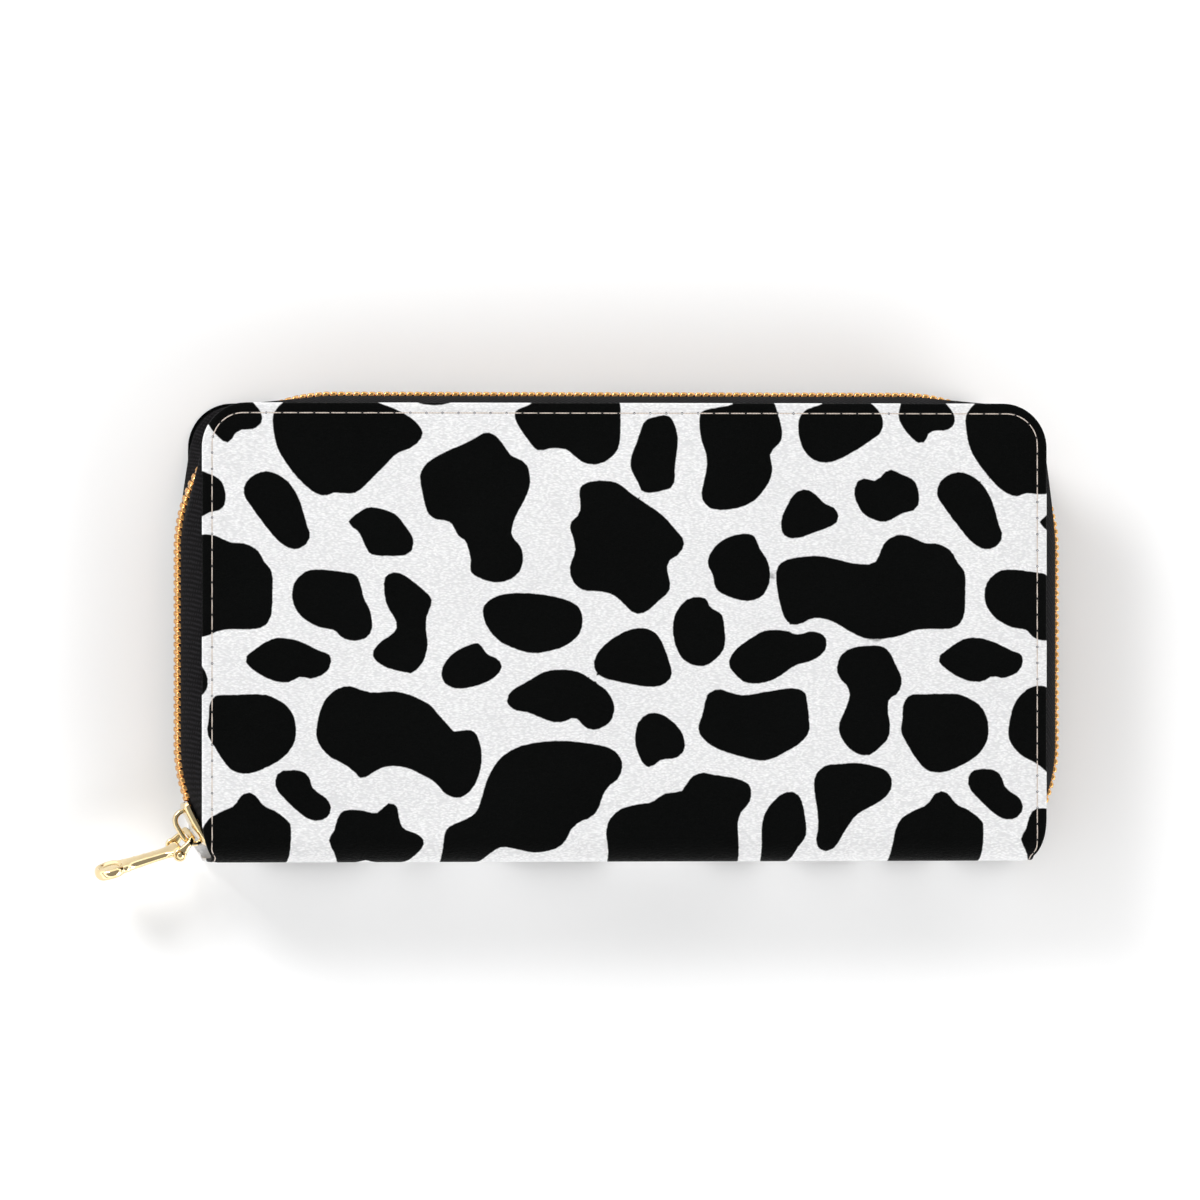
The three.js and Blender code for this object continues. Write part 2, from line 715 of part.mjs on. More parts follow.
// ---- assembly ------------------------------------------------------------------------
const finishes = {
  leather: { color: 0xeeeeee, roughness: 0.5, metalness: 0 },
  board: { color: 0xa08a6c, roughness: 0.9, metalness: 0 },
  lining: { color: 0x26262a, roughness: 0.85, metalness: 0 },
  leaf: { color: 0xe6e4df, roughness: 0.55, metalness: 0 },
  tape: { color: 0x18181a, roughness: 0.9, metalness: 0 },
  teeth: { color: 0xc09167, roughness: 0.3, metalness: 1 },
  hardware: { color: 0xe2cda4, roughness: 0.15, metalness: 1 },
  stop: { color: 0xb98a50, roughness: 0.35, metalness: 1 },
};

const wallet = new THREE.Group();

function add(name, finish, geometry) {
  const mesh = new THREE.Mesh(geometry, new THREE.MeshStandardMaterial(finishes[finish]));
  mesh.name = name;
  wallet.add(mesh);
}

for (const [side, place] of [["back", (g) => g], ["front", mirrored]]) {
  add(`${side}_cover_skin`, "leather", place(coverSkin()));
  add(`${side}_cover_board`, "board", place(coverBoard()));
  add(`${side}_cover_lining`, "lining", place(coverLining()));
  for (let i = 0; i < CARD_LEAVES; i++) {
    add(`${side}_card_leaf_${i + 1}`, "leaf", place(cardLeaf(i)));
  }
  add(`${side}_zip_tape`, "tape", place(zipTape()));
  add(`${side}_coin_panel`, "leaf", place(coinPanel()));
  add(`${side}_coin_tape`, "tape", place(coinTape()));
  add(`${side}_coin_coil`, "tape", place(coinCoil()));
  add(`${side}_top_stop`, "stop", place(zipBlock(0.2, 1.3, [-0.9, 0.9], [1, BEAD_OUTER])));
  add(`left_gusset_${side}`, "lining", place(gusset(-1)));
  add(`right_gusset_${side}`, "lining", place(gusset(1)));
}

const zipLength = 2 * halfZip;
const firstTooth = sliderMiddle + 0.5;
add("back_zip_teeth", "teeth", toothComb(firstTooth, sliderMiddle - 1, zipLength - 3));
add(
  "front_zip_teeth",
  "teeth",
  mirrored(toothComb(firstTooth + 5 * TOOTH_PITCH, sliderHigh + GAP, zipLength - 3)),
);
add("zip_bottom_stop", "stop", zipBlock(zipLength - 2, zipLength - 0.4, [-0.9, 0.9], [-0.8, BEAD_OUTER]));

add("coin_binding", "lining", coinBinding());
add("coin_slider", "hardware", coinSlider());
add("coin_pull", "hardware", coinPull());
add("coin_zip_stop_left", "stop", coinStop(-1));
add("coin_zip_stop_right", "stop", coinStop(1));

add("slider", "hardware", sliderBody());
add("pull_shackle", "hardware", pullShackle());
add("pull_pin", "hardware", pullPin());
add("pull_tab", "hardware", pullTab());

export default wallet;
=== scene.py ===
"""Looks of the zip around wallet: its leather, stitching, zip, pull and inner pieces, built
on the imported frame. Lengths are in millimetres until a mesh is made, in metres."""
import json
import math

import bmesh
import bpy
import numpy as np
from mathutils import Matrix, Vector


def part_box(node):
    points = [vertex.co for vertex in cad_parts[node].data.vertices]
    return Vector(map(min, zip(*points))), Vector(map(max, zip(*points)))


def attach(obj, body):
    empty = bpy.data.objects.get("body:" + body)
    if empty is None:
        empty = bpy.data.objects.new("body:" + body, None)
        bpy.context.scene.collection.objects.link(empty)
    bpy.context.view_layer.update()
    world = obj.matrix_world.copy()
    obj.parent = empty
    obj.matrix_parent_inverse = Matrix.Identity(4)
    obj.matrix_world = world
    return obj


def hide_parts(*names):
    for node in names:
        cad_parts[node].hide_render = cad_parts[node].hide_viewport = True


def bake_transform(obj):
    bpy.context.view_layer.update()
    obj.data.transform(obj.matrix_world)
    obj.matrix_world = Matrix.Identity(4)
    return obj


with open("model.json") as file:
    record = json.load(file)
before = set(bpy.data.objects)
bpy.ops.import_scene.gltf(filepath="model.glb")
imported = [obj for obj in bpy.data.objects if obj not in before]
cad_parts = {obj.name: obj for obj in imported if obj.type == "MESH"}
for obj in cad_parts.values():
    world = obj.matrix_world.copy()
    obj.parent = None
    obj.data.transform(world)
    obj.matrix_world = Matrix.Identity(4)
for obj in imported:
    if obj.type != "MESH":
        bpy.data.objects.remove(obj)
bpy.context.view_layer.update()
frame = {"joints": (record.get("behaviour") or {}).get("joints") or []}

MM = 0.001


def box_mm(node):
    low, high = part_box(node)
    return [v / MM for v in low], [v / MM for v in high]


# ---- sizes, from the frame where it holds them ------------------------------------------
# The cover: its outer box, and how it narrows towards the spine.
SKIN_LOW, SKIN_HIGH = box_mm("front_cover_skin")
HALF_LENGTH = SKIN_HIGH[0]
COVER_TOP = SKIN_HIGH[1]
SPINE_Y = SKIN_LOW[1]
THICKNESS = SKIN_HIGH[2]
MID_Z = THICKNESS / 2
COVER_CORNER = 10
SPINE_RADIUS = 6
SPINE_NARROWING = 2.4
NARROWING_HEIGHT = 10
LEATHER = 0.9
LINING_DEPTH = box_mm("back_cover_lining")[0][2]
LINING = 0.4

# The zip: its path down the sides and over the top, the teeth, the tape and the slider.
TOOTH_HALF_THICKNESS = 1.25
ZIP_SIDE_X = box_mm("back_zip_teeth")[1][0] - TOOTH_HALF_THICKNESS
ZIP_TOP_Y = box_mm("back_zip_teeth")[1][1] - TOOTH_HALF_THICKNESS
ZIP_TOP_RADIUS = 34
ZIP_END_RADIUS = 34
ZIP_END_Y = -25.4
ZIP_END_TILT = math.radians(43)
TOOTH_PITCH = 0.86
TOOTH_WIDTH = 0.7
TAPE_DEPTH = 1.5
TAPE_BULGE = 1.45
TAPE_START = 2.9
TAPE_FOOT = 8
SLIDER_TILT = math.radians(30)
SLIDER_LENGTH = 10.5
SLIDER_TOP = 2.3
CHANNEL = 1.35

# The stitched line round each cover, and how far a seam's thread stands off the leather.
STITCH_PITCH = 3.6
STITCH_SIDE_INSET = 2.2
STITCH_LEAST_INSET = 0.9
STITCH_TOP_INSET = 2.3
STITCH_CORNER = 7
SEAM_LIFT = 0.02

BACK, POCKET, FRONT = "back_cover", "coin_pocket", "front_cover"
SIDES = ("back", "front")


# ---- meshes -----------------------------------------------------------------------------
def add_object(name, data):
    thing = bpy.data.objects.new(name, data)
    bpy.context.scene.collection.objects.link(thing)
    return thing


def make_piece(name, shape, material):
    """A smooth-shaded piece from points in millimetres and faces, all turned outward."""
    points, faces = shape
    mesh = bpy.data.meshes.new(name)
    mesh.from_pydata([tuple(float(c) * MM for c in p) for p in points], [], faces)
    mesh.validate()
    mesh.update()
    mesh.polygons.foreach_set("use_smooth", [True] * len(mesh.polygons))
    piece = add_object(name, mesh)
    mesh.materials.append(material)
    edit = bmesh.new()
    edit.from_mesh(mesh)
    bmesh.ops.recalc_face_normals(edit, faces=edit.faces)
    edit.to_mesh(mesh)
    edit.free()
    return piece


def place_piece(piece, body, node=None):
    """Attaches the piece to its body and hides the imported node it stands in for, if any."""
    if node:
        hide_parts(node)
    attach(piece, body)


def round_steps(count, start=0.0, square=(1, 1)):
    """Cosine and sine at each step round a ring, squared off by powers below one."""
    for k in range(count):
        angle = 2 * math.pi * (k + start) / count
        c, s = math.cos(angle), math.sin(angle)
        yield math.copysign(abs(c) ** square[0], c), math.copysign(abs(s) ** square[1], s)


def tube_ring(centre, side, other, radius, count):
    return [centre + (side * c + other * s) * radius for c, s in round_steps(count)]


def grid_faces(width, height, closed=True):
    """Faces of two equal grids of points, one over the other, joined round their rims; the
    rim along the first row stays open where closed is false."""
    count = width * height
    faces = []
    for row in range(height - 1):
        for column in range(width - 1):
            a = row * width + column
            b = a + width
            faces.append((a, a + 1, b + 1, b))
            faces.append((a + count, b + count, b + 1 + count, a + 1 + count))
    rim = [row * width for row in range(height)]
    rim += [(height - 1) * width + column for column in range(1, width)]
    rim += [row * width + width - 1 for row in range(height - 2, -1, -1)]
    if closed:
        rim += range(width - 2, -1, -1)
    return faces + [(a, b, b + count, a + count) for a, b in zip(rim, rim[1:])]


def loft_parts(rings, closed_ends=True):
    """Points and faces of a skin through rings of equal length."""
    count = len(rings[0])
    points = [p for ring in rings for p in ring]
    faces = []
    for r in range(len(rings) - 1):
        for i in range(count):
            j = (i + 1) % count
            a, b = r * count, (r + 1) * count
            faces.append((a + i, a + j, b + j, b + i))
    if closed_ends:
        faces.append(tuple(range(count - 1, -1, -1)))
        last = (len(rings) - 1) * count
        faces.append(tuple(range(last, last + count)))
    return points, faces


def join_parts(parts):
    points, faces = [], []
    for more_points, more_faces in parts:
        start = len(points)
        points.extend(more_points)
        faces.extend(tuple(i + start for i in f) for f in more_faces)
    return points, faces


def bevel(piece, width, segments, angle):
    modifier = piece.modifiers.new("Bevel", "BEVEL")
    modifier.width = width * MM
    modifier.segments = segments
    modifier.limit_method = "ANGLE"
    modifier.angle_limit = math.radians(angle)
    bpy.context.view_layer.update()
    evaluated = piece.evaluated_get(bpy.context.evaluated_depsgraph_get())
    mesh = bpy.data.meshes.new_from_object(evaluated)
    piece.modifiers.clear()
    piece.data = mesh


def tangents(path):
    last = len(path) - 1
    return [(path[min(i + 1, last)] - path[max(i - 1, 0)]).normalized() for i in range(last + 1)]


def smoothstep(x):
    x = min(max(x, 0.0), 1.0)
    return x * x * (3 - 2 * x)


# ---- materials --------------------------------------------------------------------------
class Nodes:
    """A small helper for writing a node material top to bottom."""

    def __init__(self, name):
        self.material = bpy.data.materials.new(name)
        self.material.use_nodes = True
        self.tree = self.material.node_tree
        self.shader = self.tree.nodes["Principled BSDF"]
        self.coordinates = self.tree.nodes.new("ShaderNodeTexCoord").outputs["Object"]

    def add(self, kind, inputs=None, **settings):
        node = self.tree.nodes.new("ShaderNode" + kind)
        for key, value in settings.items():
            setattr(node, key, value)
        for key, value in (inputs or {}).items():
            if isinstance(value, bpy.types.NodeSocket):
                self.tree.links.new(value, node.inputs[key])
            else:
                node.inputs[key].default_value = value
        return node

    def place(self, scale=(1, 1, 1), turn=(0, 0, 0)):
        inputs = {"Vector": self.coordinates, "Scale": scale, "Rotation": turn}
        return self.add("Mapping", inputs).outputs["Vector"]

    def noise(self, scale, detail=2, roughness=0.5, vector=None):
        inputs = {"Vector": vector or self.coordinates, "Scale": scale, "Detail": detail,
                  "Roughness": roughness}
        return self.add("TexNoise", inputs).outputs["Fac"]

    def maths(self, operation, first, second=0.0):
        return self.add("Math", {0: first, 1: second}, operation=operation).outputs[0]

    def ramp(self, value, low, high, to_low=0.0, to_high=1.0):
        inputs = {"Value": value, "From Min": low, "From Max": high, "To Min": to_low,
                  "To Max": to_high}
        return self.add("MapRange", inputs).outputs[0]

    def blend(self, factor, first, second):
        node = self.add("Mix", {0: factor, 6: first, 7: second}, data_type="RGBA")
        return node.outputs[2]

    def bump(self, height, strength, depth):
        inputs = {"Height": height, "Strength": strength, "Distance": depth * MM}
        return self.add("Bump", inputs).outputs["Normal"]

    def surface(self, colour, roughness, normal=None, constants=None):
        for key, value in (("Base Color", colour), ("Roughness", roughness), ("Normal", normal)):
            if isinstance(value, bpy.types.NodeSocket):
                self.tree.links.new(value, self.shader.inputs[key])
            elif value is not None:
                self.shader.inputs[key].default_value = value
        for key, value in (constants or {}).items():
            self.shader.inputs[key].default_value = value
        return self.material


def grain(nodes, cell, depth, strength):
    """Pebbled leather, its cells cell millimetres across and drawn out on the slant, over
    finer wrinkles."""
    slanted = nodes.place(scale=(1.0, 2.3, 1.5), turn=(0, 0, math.radians(38)))
    warp = nodes.noise(220, 2, 0.5)
    shift = nodes.add("VectorMath", {0: slanted, 1: (0, 0, 0)}, operation="ADD")
    nodes.tree.links.new(
        nodes.add("CombineXYZ", {"X": nodes.maths("MULTIPLY", warp, 0.003)}).outputs[0],
        shift.inputs[1],
    )
    cells = nodes.add(
        "TexVoronoi", {"Vector": shift.outputs[0], "Scale": 1000 / cell}, feature="SMOOTH_F1",
    ).outputs["Distance"]
    fine = nodes.noise(2600 / cell, 3, 0.6, slanted)
    pits, wrinkles = nodes.maths("MULTIPLY", cells, -0.8), nodes.maths("MULTIPLY", fine, 0.7)
    return nodes.bump(nodes.maths("ADD", pits, wrinkles), strength, depth), cells


def cow_leather():
    nodes = Nodes("cow_leather")
    normal, cells = grain(nodes, 0.75, 0.3, 0.8)
    spot = nodes.add("Attribute", attribute_name="spot_depth").outputs["Fac"]
    wobble = nodes.maths("MULTIPLY", nodes.maths("SUBTRACT", nodes.noise(900, 2), 0.5), 0.25)
    black = nodes.ramp(nodes.maths("ADD", spot, wobble), -0.1, 0.1)
    tone = nodes.ramp(nodes.noise(45, 4, 0.6), 0.3, 0.7)
    white = nodes.blend(tone, (0.85, 0.85, 0.855, 1), (0.91, 0.91, 0.91, 1))
    # The white is darkened where the grain's grooves sink: painted shade in the grooves.
    groove_shade = nodes.ramp(cells, 0.15, 0.55, 0.0, 0.7)
    white = nodes.blend(groove_shade, white, (0.62, 0.62, 0.63, 1))
    ink = nodes.blend(tone, (0.0004, 0.0006, 0.0005, 1), (0.0009, 0.0012, 0.0011, 1))
    colour = nodes.blend(black, white, ink)
    roughness = nodes.ramp(cells, 0.2, 0.8, 0.42, 0.6)
    return nodes.surface(colour, roughness, normal, {"Specular IOR Level": 0.035})


def smooth_leather(name, light, dark):
    nodes = Nodes(name)
    normal, cells = grain(nodes, 0.9, 0.15, 0.4)
    tone = nodes.ramp(nodes.noise(60, 4, 0.6), 0.3, 0.7)
    colour = nodes.blend(tone, (*dark, 1), (*light, 1))
    return nodes.surface(colour, nodes.ramp(cells, 0.2, 0.8, 0.45, 0.62), normal)


def woven(name, dark, light, thread, slant, roughness, sheen):
    """Cloth with two sets of threads, or a slanted twill line where slant isn't zero."""
    nodes = Nodes(name)
    turned = nodes.place(turn=[math.radians(slant * share) for share in (1, 0.7, 1)])
    lines = [
        nodes.add(
            "TexWave",
            {"Vector": turned, "Scale": 314 / thread / 2, "Distortion": 0.6, "Detail": 1.0,
             "Detail Scale": 3.0},
            bands_direction=direction, wave_profile="SIN",
        ).outputs["Fac"]
        for direction in "XYZ"
    ]
    weave = nodes.maths("MAXIMUM", nodes.maths("MULTIPLY", lines[0], lines[1]),
                        nodes.maths("MULTIPLY", lines[1], lines[2]))
    fluff = nodes.noise(3000, 3, 0.7)
    height = nodes.maths("ADD", weave, nodes.maths("MULTIPLY", fluff, 0.35))
    colour = nodes.blend(nodes.ramp(height, 0.1, 1.1), (*dark, 1), (*light, 1))
    normal = nodes.bump(height, 0.6, 0.12)
    finish = {"Sheen Weight": sheen, "Sheen Roughness": 0.5, "Specular IOR Level": 0.08}
    return nodes.surface(colour, roughness, normal, finish)


def metal(name, colour, worn, roughness, metallic=1.0):
    nodes = Nodes(name)
    cloud = nodes.ramp(nodes.noise(350, 4, 0.6), 0.3, 0.7)
    fine = nodes.noise(5200, 3, 0.7, nodes.place(scale=(1, 0.12, 0.4), turn=(0, 0, 0.6)))
    tint = nodes.blend(cloud, (*colour, 1), (*worn, 1))
    wear = nodes.maths("ADD", cloud, fine)
    rough = nodes.ramp(wear, 0.5, 1.5, roughness * 0.7, roughness * 1.35)
    return nodes.surface(tint, rough, nodes.bump(fine, 0.12, 0.02), {"Metallic": metallic})


def thread_material(name, light, dark):
    nodes = Nodes(name)
    twist = nodes.add(
        "TexWave",
        {"Vector": nodes.place(turn=(0, 0, math.radians(35))), "Scale": 700, "Distortion": 0.4},
        bands_direction="DIAGONAL",
    ).outputs["Fac"]
    fuzz = nodes.noise(2400, 3, 0.6)
    colour = nodes.blend(nodes.maths("MULTIPLY", twist, fuzz), (*dark, 1), (*light, 1))
    return nodes.surface(colour, 0.62, nodes.bump(twist, 0.5, 0.08), {"Sheen Weight": 0.2})


def card_stock():
    nodes = Nodes("greyboard")
    flecks = nodes.noise(900, 5, 0.7)
    tone = nodes.ramp(flecks, 0.35, 0.65)
    colour = nodes.blend(tone, (0.30, 0.25, 0.19, 1), (0.44, 0.38, 0.3, 1))
    return nodes.surface(colour, 0.9, nodes.bump(flecks, 0.3, 0.1))


def plain_floor():
    nodes = Nodes("floor")
    tone = nodes.ramp(nodes.noise(3, 2), 0.3, 0.7)
    colour = nodes.blend(tone, (0.95, 0.95, 0.95, 1), (0.97, 0.97, 0.97, 1))
    return nodes.surface(colour, 0.9)


LEATHER_MATERIAL = cow_leather()
INNER_LEATHER = smooth_leather("inner_leather", (0.80, 0.79, 0.77), (0.70, 0.69, 0.67))
# Near-black colour for the pits at the needle holes: painted shade inside each hole.
HOLE_SHADE_MATERIAL = smooth_leather("painted_hole_shade", (0.006, 0.004, 0.0035), (0.002, 0.0015, 0.001))
LINING_MATERIAL = woven(
    "lining_cloth", (0.006, 0.006, 0.007), (0.035, 0.035, 0.04), 0.32, 0, 0.8, 0.3
)
TAPE_MATERIAL = woven(
    "zip_tape_twill", (0.0012, 0.0011, 0.0013), (0.011, 0.0102, 0.0115), 0.4, 45, 0.88, 0.01
)
TEETH_MATERIAL = metal("orange_gold_teeth", (0.86, 0.50, 0.20), (0.66, 0.34, 0.10), 0.2)
GOLD_MATERIAL = metal("pale_gold", (0.90, 0.74, 0.45), (0.84, 0.66, 0.36), 0.11)
THREAD_MATERIAL = thread_material("edge_thread", (0.80, 0.70, 0.63), (0.5, 0.42, 0.36))
COIL_MATERIAL = metal("coin_zip_coil", (0.03, 0.03, 0.033), (0.02, 0.02, 0.022), 0.4, 0.0)
BOARD_MATERIAL = card_stock()


# ---- the cover leather and its print ------------------------------------------------------
FLAT_START = MID_Z - SPINE_RADIUS + SPINE_RADIUS * math.pi / 2
TOP_RUN = FLAT_START + COVER_TOP - (SPINE_Y + SPINE_RADIUS)
PRINT_MIDDLE = SPINE_Y + SPINE_RADIUS - FLAT_START


def half_width(run):
    """Half the cover's width at a run up from the middle of the spine."""
    y = SPINE_Y + SPINE_RADIUS + run - FLAT_START
    low = max((SPINE_Y + NARROWING_HEIGHT - max(y, SPINE_Y)) / NARROWING_HEIGHT, 0)
    rise = y - (COVER_TOP - COVER_CORNER)
    width = HALF_LENGTH - SPINE_NARROWING * low**2
    if rise <= 0:
        return width
    rise = min(rise, COVER_CORNER)
    return width - COVER_CORNER + math.sqrt(COVER_CORNER**2 - rise**2)


def edge_distance(x, run):
    """How far a point of the cover is from its raw edge."""
    corner_x = HALF_LENGTH - COVER_CORNER
    corner_run = TOP_RUN - COVER_CORNER
    if abs(x) > corner_x and run > corner_run:
        return COVER_CORNER - math.hypot(abs(x) - corner_x, run - corner_run)
    return min(half_width(min(run, corner_run)) - abs(x), TOP_RUN - run)


def stitch_side(run):
    """Half the distance between the two stitched sides at a run up from the spine's middle."""
    edge = half_width(min(run, TOP_RUN - COVER_CORNER))
    return min(HALF_LENGTH - STITCH_SIDE_INSET, edge - STITCH_LEAST_INSET)


def stitch_distance(x, run):
    """How far a point of the cover is from the stitched line round its edge."""
    side = stitch_side(run)
    top = TOP_RUN - STITCH_TOP_INSET
    over_x = abs(x) - (side - STITCH_CORNER)
    over_run = run - (top - STITCH_CORNER)
    if over_x > 0 and over_run > 0:
        return abs(math.hypot(over_x, over_run) - STITCH_CORNER)
    return abs(max(over_x, over_run) - STITCH_CORNER)


def wrap_point(x, run, depth, front):
    """A point of the wrap round spine and cover, depth below the leather's outer face."""
    if run < MID_Z - SPINE_RADIUS:
        y, z = SPINE_Y + depth, MID_Z - run
    elif run < FLAT_START:
        angle = (run - (MID_Z - SPINE_RADIUS)) / SPINE_RADIUS
        y = SPINE_Y + SPINE_RADIUS - (SPINE_RADIUS - depth) * math.cos(angle)
        z = SPINE_RADIUS - (SPINE_RADIUS - depth) * math.sin(angle)
    else:
        y, z = SPINE_Y + SPINE_RADIUS + run - FLAT_START, depth
    return (x, y, THICKNESS - z if front else z)


def surface_depth(x, run, front):
    """How far the leather's face lies below its outer plane: rounded at the raw edge,
    pulled down by the stitches, and slightly padded inside them on the front."""
    edge = max(edge_distance(x, run), 0.0)
    rounding, dent, dent_reach = 0.55, 0.2, 0.5
    padding, border_depth, crease_depth, crease_down, crease_reach = 0.2, 0.22, 0.05, 40.5, 1.1
    depth = 0.0
    if edge < rounding:
        depth += rounding - math.sqrt(rounding**2 - (rounding - edge) ** 2)
    depth += dent * math.exp(-((stitch_distance(x, run) / dent_reach) ** 2))
    if run > FLAT_START and front:
        flat = run - FLAT_START
        lift = smoothstep(edge / 16) * smoothstep(flat / 14)
        depth += border_depth * (1 - lift) * smoothstep(flat / 6) - padding * lift
        crease = (run - TOP_RUN + crease_down) / crease_reach
        depth += crease_depth * math.exp(-crease * crease)
    return depth


